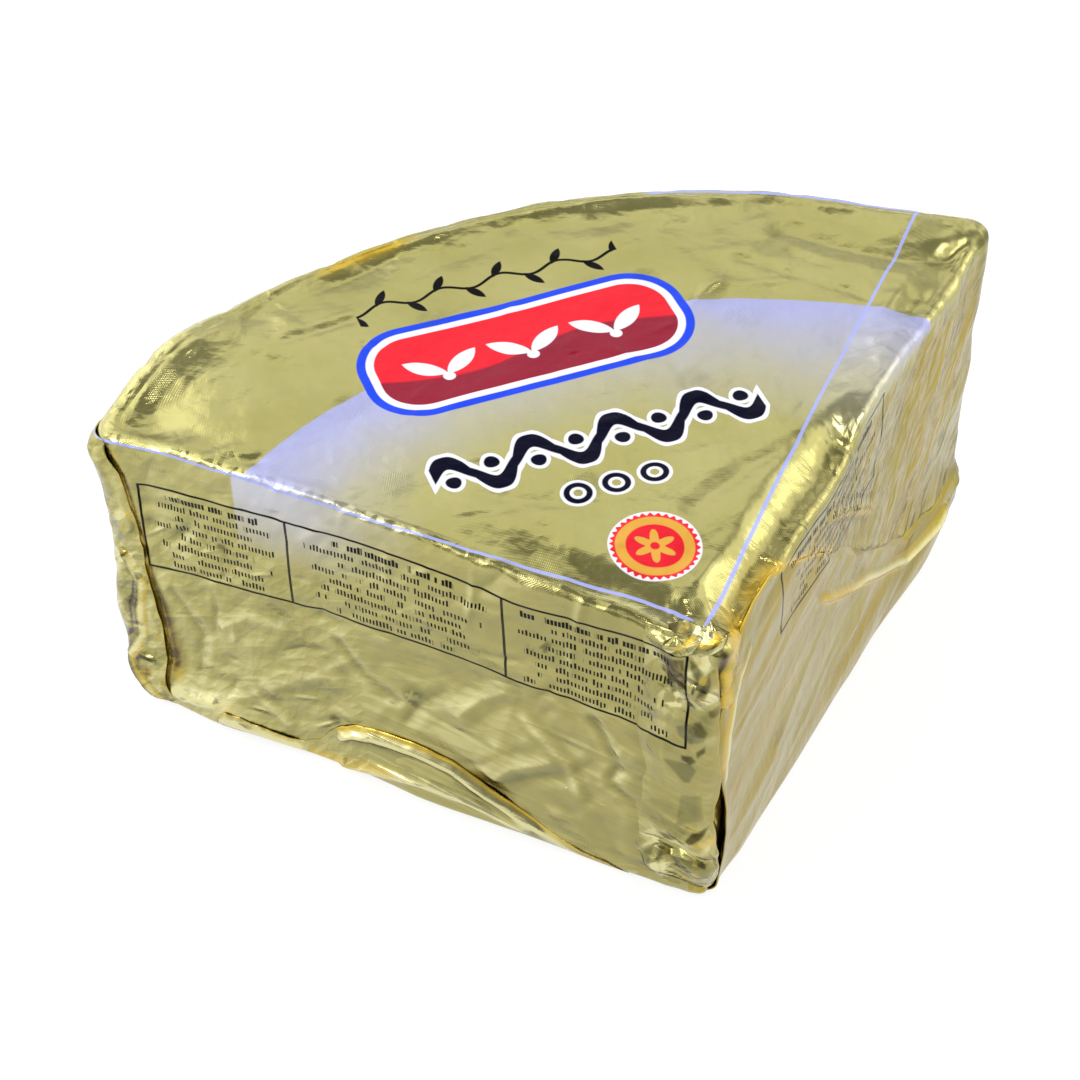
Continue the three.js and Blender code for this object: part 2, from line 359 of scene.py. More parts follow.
# The folds that are big enough to have a place of their own: (chain, rise, width). A chain
# on the top has (across, away) from the apex, and one on a face (along, height).
TOP_FOLDS = (
    (((60, 118), (73, 106), (83, 99), (98, 97)), -1.1, 6.0),
    (((-64, 128), (-50, 136), (-39, 135), (-28, 139)), -1.0, 5.5),
    (((-59, 116), (-44, 119)), -0.45, 2.2),
    (((-43, 110), (-39, 109)), -0.35, 1.8),
    (((8, 38), (24, 46), (36, 50)), -0.6, 3.6),
    (((-20, 132), (8, 136), (30, 133)), -0.25, 5.0),
    (((6, 22), (-4, 14), (-8, 11)), 0.8, 4.0),
    (((46, 112), (66, 92), (70, 86)), -0.35, 2.0),
    (((52, 118), (64, 103)), -0.3, 1.8),
)
LEFT_FOLDS = (
    (((60, 34), (55, 41), (49, 46)), 1.0, 4.0),
    (((51, 19), (47, 24), (38, 30)), 1.0, 4.0),
    (((18, 39), (14, 37), (12, 37)), 0.6, 2.5),
    (((28, 47), (22, 36), (24, 30), (16, 24)), -0.7, 2.2),
    (((44, 40), (34, 31), (31, 22)), 0.6, 2.6),
    (((108, 20), (100, 27), (92, 30)), 0.8, 4.0),
    (((90, 42), (84, 34), (76, 30)), -0.6, 2.4),
    (((74, 24), (70, 32), (64, 38)), -0.6, 3.0),
    (((28, 34), (35, 25), (44, 21)), -0.35, 3.0),
    (((120, 34), (113, 40), (104, 41)), 0.6, 3.0),
    (((132, 40), (126, 28), (128, 16)), -0.5, 2.4),
    (((112, 16), (104, 10)), 0.5, 2.4),
    (((136, 5.5), (130, 6.5), (124, 8.4)), 1.2, 2.6),
)
RIGHT_FOLDS = (
    (((56, 71), (66, 64), (76, 56), (83, 50)), 1.1, 2.8),
    (((107, 13), (126, 9), (143, 9)), 1.4, 4.0),
    (((108, 79), (100, 66), (92, 51)), -0.8, 6.0),
    (((126, 78), (118, 60), (112, 40)), 0.7, 6.0),
)
# Where folded foil gets a painted deep gold reflection of foil in foil: (chain, width,
# strength), as (along, height) on a face.
LEFT_DEEP = (
    (((143, 78), (140, 66), (138, 51), (138, 43), (136, 26), (136, 16), (138, 1)), 0.7, 0.8),
    (((136, 32), (134.5, 22), (134.5, 12)), 1.8, 0.7),
    (((125, 8.5), (119, 8.6)), 0.8, 0.8),
)
RIGHT_DEEP = (
    (((5, 76), (10, 79), (18, 80.5), (27, 80)), 2.6, 1.0),
    (((30, 78), (40, 72), (50, 65), (58, 58)), 1.2, 0.9),
    (((56, 70), (66, 63), (76, 55), (83, 49)), 0.8, 0.8),
    (((3, 72), (3, 62), (4, 40), (5, 24), (4, 4)), 1.3, 0.85),
)
# The upper edge of the three-cornered flap on the right face, as (along, height), and its
# free end beside the point, from the foot up; the ridge is a roll that crosses it.
FLAP_UPPER = (
    (1.4, 57), (2.0, 62), (3.8, 67), (6.8, 72.5), (11.5, 77.5), (17.5, 79.8), (25, 80),
    (31, 78), (40, 72), (50, 65), (58, 58.5), (67, 52), (76, 44), (86, 36), (97, 28),
    (108, 21), (126, 15), (146, 13),
)
FLAP_RIDGE = (
    (53, 48), (60, 43), (66, 39), (73, 34), (82, 29), (94, 21), (107, 13), (126, 8.5), (144, 8),
)
# A ridge with a painted highlight, and a line of painted gold reflection, behind the free
# end, as (along, height).
FLAP_SHINE = ((14, 69), (10.4, 66), (7.5, 60.5), (5.3, 52), (5, 38))
FLAP_GOLDEN = ((9, 66.5), (6, 60.5), (3.9, 52), (3.6, 42))
FLAP_NEAR = ((4.2, 0.6), (4.6, 9), (5.6, 20), (5.2, 28), (3.2, 38), (1.6, 50), (1.4, 57))
# The free edge of the end flap and the roll on it, the upper edge of the hem at the foot of
# the left face and the roll low on it, and the free edge of the lap round the point. END_EDGE
# is (height, along), LAP_EDGE is (height, distance round the pack from the middle of the
# point), and the others are (along, height).
END_EDGE = (
    (0, 138), (9, 137), (16, 136), (26, 136), (35, 137), (43, 138), (51, 138), (58, 139),
    (66, 140), (72, 141), (76, 143), (80, 144),
)
END_ROLL = (
    (143, 47), (142, 44), (140, 40), (141, 33), (142, 23), (145, 16), (147, 12), (144, 7),
    (143, 1),
)
HEM_EDGE = (
    (18, 0), (24, 3.0), (30, 3.8), (35, 5.2), (42, 8.8), (50, 12.4), (55, 15), (62, 17.8),
    (67, 18.6), (75, 18.6), (82, 18.2), (87, 17.0), (91, 15.0), (94, 11.5), (97, 7.6), (101, 5.4),
    (105, 5.4), (112, 6.2), (118, 6.8), (121, 7.0), (123, 5), (124.5, 0),
)
LOW_ROLL = (
    (120, 4.6), (104, 3.8), (96.5, 2.4), (88.6, 3.1), (80, 5.5), (75.4, 6.8), (67.7, 7.7),
    (60, 7.5), (52.6, 6.4), (45, 5),
)
LAP_EDGE = (
    (0, 3.4), (7, 3.6), (10, 2.6), (17, 1.8), (28, 0.8), (33, 1.0), (41, 1.9), (50, 1.2),
    (62, 1.0), (69, 0.6), (77, 0.2), (84, 0.0),
)
# The folded lip that hangs from the top over the head of the point: (distance round the
# pack from the middle of the point, upper edge, lower edge).
LIP_EDGE = (
    (-13.5, 79.4, 78.8), (-10, 81.6, 78.0), (-8, 82.8, 77.8), (-5.5, 83.8, 79.2), (-2, 84.6, 80.8),
    (0.5, 84.6, 81.8), (2.8, 84, 83.4),
)
# Dents made by small patches of the roller, drawn only as painted shade with no relief:
# (along, height) on each side's face.
PRESSED = {
    -1: ((9.5, 66), (9, 42), (13, 18), (40, 64), (72, 33), (118, 60)),
    1: ((33, 24), (70, 72), (106, 60), (128, 33)),
}


# Facets of the crumpled head and foot of the point, with painted light and shade: how light
# each is painted, and its corners as (along, height) on the left face.
POINT_FACETS = (
    (-0.7, ((12.5, 74.8), (7.1, 77.0), (6.4, 68.9), (9.9, 64.9), (11.5, 69.4))),
    (-0.9, ((9.6, 70.0), (8.5, 70.9), (6.5, 70.3), (6.6, 68.2), (8.2, 68.6))),
    (0.9, ((9.9, 65.1), (7.7, 66.2), (6.8, 65.4), (7.2, 64.6), (9.0, 64.1))),
    (0.9, ((11.4, 61.7), (9.2, 62.8), (7.8, 62.3), (8.0, 61.6), (10.2, 61.1))),
    (0.4, ((6.6, 75.0), (5.7, 75.6), (4.5, 71.5), (5.3, 67.6), (6.2, 68.4))),
    (-0.7, ((6.2, 77.7), (4.3, 76.9), (3.1, 74.0), (4.1, 71.8), (5.3, 74.7))),
    (0.4, ((5.6, 78.6), (1.6, 82.2), (1.3, 78.3), (2.7, 74.8), (4.5, 76.3))),
    (-0.8, ((3.4, 70.9), (2.2, 74.1), (1.9, 71.6), (2.9, 67.3), (4.6, 65.6))),
    (-1.0, ((4.7, 71.2), (4.1, 71.8), (4.5, 69.2), (5.1, 68.3))),
    (-0.5, ((2.3, 63.1), (0.2, 65.1), (-0.4, 62.6), (1.8, 60.4))),
    (0.3, ((3.8, 69.0), (0.8, 70.4), (0.2, 66.5), (3.2, 65.1))),
    (-0.5, ((8.8, 55.7), (3.5, 59.5), (2.1, 57.2), (2.7, 53.9), (5.5, 51.8), (8.2, 52.9))),
    (-0.9, ((7.4, 47.4), (5.0, 48.4), (3.8, 47.1), (5.3, 45.7), (7.2, 46.3))),
    (-0.9, ((4.1, 50.0), (2.4, 52.5), (2.3, 50.6), (3.8, 48.3))),
    (-0.5, ((11.7, 44.7), (4.9, 45.9), (3.7, 44.6), (5.2, 40.1), (6.5, 39.4))),
    (-0.3, ((7.3, 34.8), (2.8, 37.2), (2.1, 29.5), (7.6, 25.9))),
    (-0.8, ((11.7, 21.4), (7.3, 23.1), (6.8, 22.0), (8.6, 20.1), (10.2, 19.9))),
    (-1.0, ((5.2, 22.6), (3.8, 25.3), (1.1, 27.1), (2.0, 24.3), (4.2, 21.4))),
    (-0.6, ((16.2, 9.5), (13.8, 9.1), (12.3, 4.5), (14.2, 4.8))),
    (0.4, ((14.0, 17.2), (12.3, 18.7), (11.4, 6.0), (12.8, 4.9))),
    (0.4, ((11.2, 18.0), (10.0, 18.0), (10.0, 6.5), (11.1, 5.1))),
)


def painted_point_light(along, z):
    """How light the facets of the point are painted, as painted light and shade: each is a convex
    shape, with soft edges, so a place is inside it where its greatest distance from the lines
    of its sides is below 0."""
    total = np.zeros(np.shape(along))
    for light, corners in POINT_FACETS:
        u, v = np.array(corners, float).T
        du, dv = np.roll(u, -1) - u, np.roll(v, -1) - v
        turn = np.sign(np.sum(u * np.roll(v, -1) - v * np.roll(u, -1)))
        sides = [
            turn * ((along - a) * b - (z - c) * d) / math.hypot(b, d)
            for a, b, c, d in zip(u, dv, v, du)
        ]
        total += 1.45 * light * fade(np.max(sides, axis=0), -0.35, 0.25)
    return total


def painted_dent_shade(side, along, z, rng):
    """Painted shade of the roller's dents: dark flecks inside the small patches that it made."""
    flecks = ease(soft_noise(along + z, z - along, 2.4, rng), 0.1, 0.35)
    near = sum(spot(along - place[0], z - place[1], 2.8) for place in PRESSED[side])
    return np.clip(1.6 * near, 0, 1) * flecks


class Wedge:
    """Plan and section of the pack, in millimetres, with the relief of each face."""

    # Columns along the right (1) and the left (-1) cut face and round each bend, and rows.
    WALL = {
        1: runs((0.085, 20), (0.90, 84), (1.0, 20)),
        -1: runs((0.085, 30), (0.90, 184), (1.0, 30)),
    }
    CORNER = runs((1.0, 9))
    RIND = runs((1.0, 130))
    POINT = runs((1.0, 14))
    ROWS = {"base": 10, "foot": 7, "side": 80, "edge": 7, "top": 78}

    def __init__(self, sizes):
        self.radius = sizes.radius / MM
        self.height = sizes.height / MM
        self.half = sizes.half_opening
        self.point = sizes.point_round / MM
        self.corner = sizes.corner_round / MM
        self.top_round = sizes.top_round / MM
        self.foot_cut = sizes.foot_cut / MM
        self.foot_rind = sizes.foot_rind / MM
        self.foot_point = sizes.foot_point / MM
        self.seed = sizes.seed
        set_back = self.point * (1 / math.sin(self.half) - 1)
        self.apex = -(self.radius + set_back) / 2
        self.middle = self.apex + MIDDLE * self.radius

    def draw(self, part):
        """The seeded random draw of one part of the pack."""
        return np.random.default_rng(self.seed + DRAWS[part])

    # Places and coordinates.

    def face_place(self, side, x, y):
        """How far along the left (-1) or right (1) cut face a place lies, and how deep in."""
        rx, ry = math.sin(side * self.half), math.cos(side * self.half)
        dy = y - self.apex
        return x * rx + dy * ry, side * (dy * rx - x * ry)

    def on_face(self, side, along, depth):
        """The place in plan at a distance along a cut face and a depth inside it."""
        rx, ry = math.sin(side * self.half), math.cos(side * self.half)
        return rx * along - side * ry * depth, self.apex + ry * along + side * rx * depth

    def polar(self, x, y):
        """Distance from the apex, and bearing from the middle of the wedge in degrees."""
        return np.hypot(x, y - self.apex), np.degrees(np.arctan2(x, y - self.apex))

    # The outline.

    def outline(self, cut, rind):
        """Each column's place and outward normal, for the outline drawn in by cut from the cut
        faces and by rind from the rind: two walls, the rind's arc and three rounds. cut and
        rind are columns of numbers, one for each row wanted."""
        cut = np.reshape(np.asarray(cut, float), (-1, 1))
        rind = np.reshape(np.asarray(rind, float), (-1, 1))
        middle = self.radius - rind - self.corner
        turn = np.arcsin((cut + self.corner) / middle)
        bearing = self.half - turn
        start = (cut + self.point) / math.tan(self.half)
        end = middle * np.cos(turn)
        cx, cy = middle * np.sin(bearing), self.apex + middle * np.cos(bearing)
        quarter, half = math.pi / 2, self.half

        def straight(side, share):
            x, y = self.on_face(side, start + (end - start) * share, cut)
            nx, ny = side * math.cos(self.half), -math.sin(self.half)
            return x, y, np.full_like(x, nx), np.full_like(y, ny)

        def bend(ax, ay, size, begin, finish, share):
            heading = begin + (finish - begin) * share + np.zeros_like(cut)
            nx, ny = np.cos(heading), np.sin(heading)
            return ax + size * nx, ay + size * ny, nx, ny

        tip = self.apex + (cut + self.point) / math.sin(self.half)
        pieces = [
            straight(1, self.WALL[1]),
            bend(cx, cy, self.corner, -half, quarter - bearing, self.CORNER),
            bend(0, self.apex, self.radius - rind, quarter - bearing, quarter + bearing, self.RIND),
            bend(-cx, cy, self.corner, quarter + bearing, math.pi + half, self.CORNER),
            straight(-1, 1.0 - self.WALL[-1]),
            bend(0, tip, self.point, math.pi + half, 2 * math.pi - half, self.POINT),
        ]
        return [np.concatenate([piece[i] for piece in pieces], axis=1) for i in range(4)]

    def foot_heights(self):
        """Height of the foot's round at each column, averaged over the neighbours."""
        bent = 2 * len(self.CORNER) + len(self.RIND)
        counts = [len(self.WALL[1]), bent, len(self.WALL[-1]), len(self.POINT)]
        sizes = [self.foot_cut, self.foot_rind, self.foot_cut, self.foot_point]
        heights = np.repeat(sizes, counts)
        reach = 12
        kernel = np.ones(2 * reach + 1) / (2 * reach + 1)
        return np.convolve(np.pad(heights, reach, "wrap"), kernel, "valid")

    # Relief. Along and z are millimetres on a cut face; bearing is in degrees on the rind.

    def top_height(self, x, y):
        """Height of the top: the flat, soft swells, and its edges turned down at both sides."""
        z = np.full(np.shape(x), self.height)
        for distance, angle, rise, reach in TOP_SWELLS:
            cx = distance * math.sin(math.radians(angle))
            cy = self.apex + distance * math.cos(math.radians(angle))
            z += rise * spot(x - cx, y - cy, reach)
        along, depth = self.face_place(1, x, y)
        z += 2.2 * span(along, 56, 76, 104, 124) * bell(depth - 2, 7)
        for side, drop, stretch, reach in BEVELS:
            along, depth = self.face_place(side, x, y)
            z -= drop * span(along, *stretch) * np.clip(1 - depth / follow(along, reach), 0, 1)
        return z

    def top_relief(self, x, y):
        """Creases and dents of the foil on top."""
        rng = self.draw("top")
        box = ((-100, 100), (self.apex, self.apex + self.radius))
        r, bearing = self.polar(x, y)
        arc = np.radians(bearing) * self.radius
        quiet = 0.55 + 0.45 * soft_noise(x, y, 34, rng)
        z = crumple(x, y, rng, ((23, 0.42), (10, 0.16)), 1.8, 12)
        z += crumple(x, y, rng, ((5.5, 0.12), (3.2, 0.06))) * quiet
        z += creases(x, y, rng, 76, box, (8, 28), (1.6, 3.4), (0.12, 0.36), (14, 30))
        z += creases(x, y, rng, 30, box, (14, 50), (3.0, 7.0), (0.15, 0.5), (20, 90))
        # The rim is rolled up a little and pinched: outside it the foil falls to the rind.
        roll = r - RIM + 1.6 * wander(arc, 26, rng) + 0.8 * wander(arc, 9, rng)
        uneven = 0.75 + 0.5 * wander(arc, 17, rng)
        z += 1.1 * uneven * crest(roll, 3.4, 1.0) - 0.5 * np.clip(roll / 4, 0, 1)
        z -= 0.35 * uneven * bell(roll + 8.0, 5.0)
        z += ease(r, 126, 142) * crumple(arc, r, rng, ((12, 0.5), (6, 0.25)), 1.5)
        z += chain_folds(x, y - self.apex, TOP_FOLDS)
        # Crumpled patches inside both cut edges, and crumpled stretches along them.
        for cx, cy, rise in ((66, 71, 0.9), (75, 80, 0.8), (-78, 80, 0.5)):
            patch = spot(x - cx, y - self.apex - cy, 9)
            z += patch * rise * crumple(x, y, rng, ((6, 1.0), (3.5, 0.5)))
        for side, start, end, reach, rise in RIPPLES:
            along, depth = self.face_place(side, x, y)
            stretch = span(along, start, start + 8, end - 8, end)
            ripple = crumple(along, depth, rng, ((7, 1.0), (3.6, 0.5)), 1.3, 60 * side)
            z += stretch * bell(depth - 2.5, reach) * rise * ripple
        return z

    def left_relief(self, along, z):
        """Folds of the left face, with the room beside and under its flaps."""
        rng = self.draw("left")
        calm = 1 - 0.45 * ease(z, 46, 56)
        out = crumple(along, z, rng, ((26, 1.0), (13, 0.5)), 1.4, 145)
        out += crumple(along, z, rng, ((6.5, 0.2), (3.6, 0.08))) * calm
        lines = creases(along, z, rng, 90, FACE_BOX, (6, 24), (1.4, 3.2), (0.16, 0.5), (140, 50))
        out = out * calm + lines
        out += chain_folds(along, z, LEFT_FOLDS)
        # Under the lap of the point and the end flap it is calm and lower, and there is a
        # narrow groove along the end flap.
        edge = follow(z, END_EDGE)
        out *= (0.2 + 0.8 * ease(along, 14, 24)) * (1 - 0.85 * ease(along, edge - 5, edge - 0.5))
        out -= 1.1 * fade(along, 12, 21) * fade(z, 73, 80)
        out -= 0.25 * bell(along - edge - 0.2, 0.7) * fade(z, 74, 80)
        out -= 0.4 * ease(along, edge + 2, edge + 4) * fade(z, 72, 80)
        # The turn of the hem presses the face flat.
        out *= 1 - 0.8 * ease(follow(along, HEM_EDGE) - z, -6, 0.5)
        return out + self.foot_swell(-1, along, z)

    def foot_swell(self, side, along, z):
        """How far the foot of a cut face swells out."""
        if side < 0:
            rise = 0.3 + 2.0 * bell(along - 124, 16) + 1.0 * bell(along - 68, 14)
        else:
            rise = 0.6 * ease(along, 20, 50) + 2.0 * bell(along - 118, 20)
        return rise * fade(z, 6, 17) * ease(along, 12, 30)

    def right_relief(self, along, z):
        """Folds of the right face: the recess under the flap, and long parallel folds."""
        rng = self.draw("right")
        out = crumple(along, z, rng, ((17, 0.8), (9, 0.4)), 2.8, 52)
        out += crumple(along, z, rng, ((5, 0.12),)) * ease(along, 6, 14)
        out += creases(along, z, rng, 16, FACE_BOX, (16, 46), (2.2, 5.0), (0.15, 0.4), (54, 12))
        out += chain_folds(along, z, RIGHT_FOLDS)
        out += self.foot_swell(1, along, z)
        # Room for the flap, and the slit beside the point.
        under = self.under_flap(along, z)
        out = out * (1 - 0.7 * under)
        out -= 0.9 * under * (1 - ease(z, 64, 74) * fade(along, 5, 12))
        out += 0.9 * fade(along, 5, 12) * ease(z, 34, 42) * under
        slit, _ = chain_distance(along, z, ((3, 32), (4, 24), (4, 4)))
        out -= 1.8 * bell(slit, 1.8)
        # The narrow upright facet beside the head of the point, and its crumples.
        out += 1.1 * span(along, -1, 1, 7, 12) * ease(z, 58, 64)
        head = spot(along - 4, z - 68, 6)
        out += head * crumple(along, z, rng, ((4.5, 1.2), (2.6, 0.6)))
        return out

    def under_flap(self, along, z):
        """1 where the three-cornered flap covers the right face."""
        upper = follow(along, FLAP_UPPER)
        return ease(upper - z, 0.6, 3.0) * span(along, 2, 6, 120, 135)

    def rind_relief(self, bearing, z):
        """Pleats of the rind: upright pinches, deeper at the head and the foot."""
        rng = self.draw("rind")
        arc = np.radians(bearing) * self.radius
        out = crumple(arc, z, rng, ((22, 0.5), (10, 0.25)), 1.6, 75)
        waist = 0.55 + 0.45 * np.cos(z / self.height * 2 * math.pi)
        for i in range(PLEATS):
            even = ((i + 0.5) / PLEATS - 0.5) * 1.8 * self.half * self.radius
            place = even + self.radius * 0.022 * math.sin(7.3 * i + 1)
            lean = 0.05 * math.sin(5.1 * i) * (z - 42)
            depth = 0.6 + 0.4 * math.cos(3.1 * i)
            out -= depth * crest(arc - place - lean, 3.2, 1.4) * waist
        out += creases(arc, z, rng, 60, RIND_BOX, (8, 30), (1.8, 4.5), (0.1, 0.35), (70, 60))
        out += 2.0 * bell(bearing + 35, 11) * ease(z, 20, 66)
        return out + 1.7 * bell(bearing - 44.3, 2.4) * ease(z, 50, 80)

    def side_relief(self, x, y, z):
        """All the relief of the sides, each face's weighed by how near the place is to it."""
        along_l, depth_l = self.face_place(-1, x, y)
        along_r, depth_r = self.face_place(1, x, y)
        r, bearing = self.polar(x, y)
        out = fade(depth_l, 1.5, 5) * self.left_relief(along_l, z)
        out += fade(depth_r, 1.5, 5) * self.right_relief(along_r, z)
        out += fade(self.radius - r, 1.5, 14) * ease(r, 20, 60) * self.rind_relief(bearing, z)
        return out * ease(z, 0, 1.6)

    def painted_fold_reflection(self, x, y, z):
        """1 inside the folds where foil mirrors foil and gets a painted deep gold reflection, 0 in
        the open.
        """
        total = np.zeros(np.shape(x))
        for side, chains in ((-1, LEFT_DEEP), (1, RIGHT_DEEP)):
            along, depth = self.face_place(side, x, y)
            on_face = fade(depth, 1.5, 3.5)
            for chain, width, strength in chains:
                distance, _ = chain_distance(along, z, chain)
                total = np.maximum(total, strength * bell(distance, width) * on_face)
        # The bevel beside the point gets a painted reflection of the flap's edge.
        along_r, depth_r = self.face_place(1, x, y)
        stretch = span(along_r, 7, 11, 24, 34)
        rng = self.draw("bevel")
        uneven = 0.75 + 0.5 * soft_noise(along_r, depth_r, 4, rng)
        total = np.maximum(total, stretch * bell(depth_r - 0.8, 3.4) * uneven * ease(z, 66, 74))
        # A painted deep gold reflection in a pinch of the rim.
        r, bearing = self.polar(x, y)
        rim = bell(r - RIM, 1.5) * span(bearing, -20, -16, -11, -7) * ease(z, 76, 81)
        return np.clip(np.maximum(total, rim), 0, 1)

    def base_relief(self, x, y):
        """Height of the underside: the foil's ends are folded under, one over another, so the
        last flap lies on the ground and the others a little above it."""
        rng = self.draw("base")
        along_l, depth_l = self.face_place(-1, x, y)
        along_r, depth_r = self.face_place(1, x, y)
        r, _ = self.polar(x, y)
        over_left = ease(depth_l - 38 - 0.05 * along_l, 0, 1.2)
        over_right = ease(depth_r - 30 + 0.12 * along_r, 0, 1.2)
        from_rind = ease(self.radius - r - 40, 0, 1.2)
        z = 0.35 * over_left + 0.35 * over_left * over_right + 0.3 * from_rind
        z += 0.18 * (1 + soft_noise(x, y, 11, rng)) * (0.3 + 0.7 * over_left)
        return z

    # The closed surface.

    def levels(self):
        """The rows of the side from the base's edge to the top's edge: shares of the foot's and
        the top edge's rounds by which each is drawn in, and a share of the height between."""
        foot = np.linspace(0, math.pi / 2, self.ROWS["foot"], endpoint=False)
        side = np.linspace(0, 1, self.ROWS["side"], endpoint=False)
        edge = np.linspace(0, math.pi / 2, self.ROWS["edge"])
        zero = np.zeros
        base = np.concatenate([1 - np.sin(foot), zero(len(side) + len(edge))])
        top = np.concatenate([zero(len(foot) + len(side)), 1 - np.cos(edge)])
        low = np.concatenate([1 - np.cos(foot), np.ones(len(side) + len(edge))])
        share = np.concatenate([zero(len(foot)), side, np.ones(len(edge))])
        lift = np.concatenate([zero(len(foot) + len(side)), np.sin(edge)])
        return base, top, low, share, lift

    def side_grid(self):
        """Places and normals of the plain side, without relief, as rows of columns."""
        base, top, low, share, lift = self.levels()
        cut = self.foot_cut * base + self.top_round * top
        rind = self.foot_rind * base + self.top_round * top
        x, y, nx, ny = self.outline(cut, rind)
        ox, oy, _, _ = self.outline([0], [0])
        heads = self.top_height(ox, oy) + self.edge_nicks(ox, oy)
        feet = self.foot_heights()[None, :]
        low, share, lift = (a[:, None] for a in (low, share, lift))
        z = feet * low + share * (heads - self.top_round - feet) + self.top_round * lift
        return x, y, nx, ny, z, heads, top[:, None]

    def edge_nicks(self, x, y):
        """Small nicks and lumps along the edge of the top."""
        rng = self.draw("nicks")
        turn = np.unwrap(np.arctan2(y - 15, x), axis=-1) * 90
        return 0.26 * wander(turn, 8, rng) + 0.06 * wander(turn, 3, rng)

    def wrap(self):
        """Rows of the whole closed surface from the middle of the base to the middle of the
        top. Each place also has its two sheet coordinates, how far along and how far over the
        edge of the left and the right face, how strongly it gets the painted gold reflection of
        a fold and its painted light and shade."""
        x, y, nx, ny, z, heads, top = self.side_grid()
        out = (1 - top) * self.side_relief(x, y, z)
        round_ = np.cumsum(np.hypot(np.gradient(x, axis=1), np.gradient(y, axis=1)), axis=1)
        along_l, depth_l = self.face_place(-1, x, y)
        along_r, depth_r = self.face_place(1, x, y)
        rng = self.draw("flecks")
        # Painted light and shade from the slopes of the side's relief.
        facing = painted_shading(out, round_, z, 1.9) * (1 - top) * ease(z, 1, 5)
        facing *= 1 - 0.6 * ease(5 - depth_r, 0, 3)
        # Between the lap of the point and the flap the head gets a painted shade in its fold.
        width = np.interp(z, (62, 72, 75), (0.4, 0.5, 0.9))
        seam = bell(along_r - 1.2 - width, width) * ease(z, 60, 64)
        facing -= 1.9 * seam * fade(depth_r, 1, 3)
        # Painted shade in the roller's dents.
        for side, along, depth in ((-1, along_l, depth_l), (1, along_r, depth_r)):
            facing -= 0.9 * painted_dent_shade(side, along, z, rng) * fade(depth, 1, 3)
        # The swollen foot beyond the hem gets a painted highlight, a spot by the hem a painted
        # shade, and the crevice along the end flap a dark brown painted shade, and so does the fold
        # down the right rind corner.
        on_left = fade(depth_l, 1, 3)
        facing += 1.1 * bell(z - 7.5, 3.0) * span(along_l, 112, 126, 135, 138) * on_left
        facing -= 1.3 * spot(along_l - 92.5, z - 16.4, 1.5) * on_left
        crevice = along_l - follow(z, END_EDGE)
        crevice += np.interp(z, (6, 14, 34, 50), (0.4, 1.5, 1.2, 0.2))
        width = np.interp(z, (6, 12, 30, 44), (0.5, 1.9, 1.5, 0.5))
        facing -= 1.7 * bell(crevice, width) * on_left
        dark = np.interp(z, (0, 18, 28, 56, 66, 84), (1.6, 1.4, 0.6, 0.6, 1.4, 1.6))
        facing -= dark * bell(depth_r - 0.9, 0.8) * ease(along_r, 138, 143)
        side = lifted((x, y, nx, ny), z, out)
        fall = heads - z
        left, right = self.sheet(-1, x, y, fall), self.sheet(1, x, y, fall)

        ex, ey, ez = side[-1].T
        share = (np.arange(1, self.ROWS["top"]) / self.ROWS["top"])[:, None]
        tx, ty = ex * (1 - share), ey + (self.middle - ey) * share
        own = ease(share, 0, 0.16)
        tz = ez * (1 - own) + self.top_height(tx, ty) * own
        tz += self.top_relief(tx, ty) * ease(share, 0, 0.05)
        crown = np.stack([tx, ty, tz], axis=-1)
        zero = np.zeros_like(tx)
        crush = 0.18 + 0.55 * self.crushed(tx, ty)
        # The band between the left edge and the printed outline gets a painted highlight.
        along, depth = self.face_place(-1, tx, ty)
        reach = np.interp(along, (10, 20, 40, 66), (5.0, 4.2, 2.4, 1.2))
        pale = 0.8 * span(along, 10, 14, 56, 84) * fade(depth, reach - 0.6, reach + 0.4)

        bx, by, _ = side[0].T
        share = np.linspace(0.02, 1, self.ROWS["base"], endpoint=False)[:, None] ** 0.8
        ux, uy = bx * share, self.middle + (by - self.middle) * share
        under = np.stack([ux, uy, self.base_relief(ux, uy) * fade(share, 0.9, 1)], axis=-1)
        low = np.full_like(ux, self.height)

        rows = np.concatenate([under, side, crown])
        deep = self.painted_fold_reflection(*np.moveaxis(rows, -1, 0))
        left = np.concatenate([self.sheet(-1, ux, uy, low), left, self.sheet(-1, tx, ty, zero)])
        right = np.concatenate([self.sheet(1, ux, uy, low), right, self.sheet(1, tx, ty, zero)])
        facing = np.concatenate([0 * ux, facing, pale])
        crush = np.concatenate([0 * ux + 0.4, 0 * x + 0.6, crush])
        return rows, left, right, {"deep": deep, "painted_shading": facing, "crush": crush}

    def crushed(self, x, y):
        """1 where the top is crushed into small facets, along its edges and at the point."""
        total = spot(x, y - self.apex, 14)
        for side, start, end, reach in ((1, 4, 120, 6), (-1, 84, 150, 5)):
            along, depth = self.face_place(side, x, y)
            stretch = span(along, start, start + 10, end - 10, end)
            total = np.maximum(total, stretch * bell(depth, reach))
        r, _ = self.polar(x, y)
        return np.maximum(total, 0.3 * ease(r, 134, 144))

    def sheet(self, side, x, y, fall):
        """Sheet coordinates beside a cut face: along it, and over its top edge, which is
        positive down the face and negative in over the top."""
        along, depth = self.face_place(side, x, y)
        over = fall * fade(depth, 3, 6) - depth
        return np.stack([along, over], axis=-1)

    def inset(self, z, size, height):
        """How far the foot's round draws the surface in at a height z."""
        return size * (1 - np.sqrt(1 - np.clip(1 - z / height, 0, 1) ** 2))

    def skin(self, side, along, z, lift):
        """A place on a cut face's plain surface at a height z, lifted off it: the foot's
        round is followed, and most of the round of the point."""
        short = np.clip(self.point / math.tan(self.half) - along, 0, 0.95 * self.point)
        bent = 0.85 * (self.point - np.sqrt(self.point**2 - short**2))
        lift = lift + self.foot_swell(side, along, z) * ease(z, 0, 1.6)
        x, y = self.on_face(side, along, self.inset(z, self.foot_cut, self.foot_cut) - lift + bent)
        return np.stack([x, y, z], axis=-1)

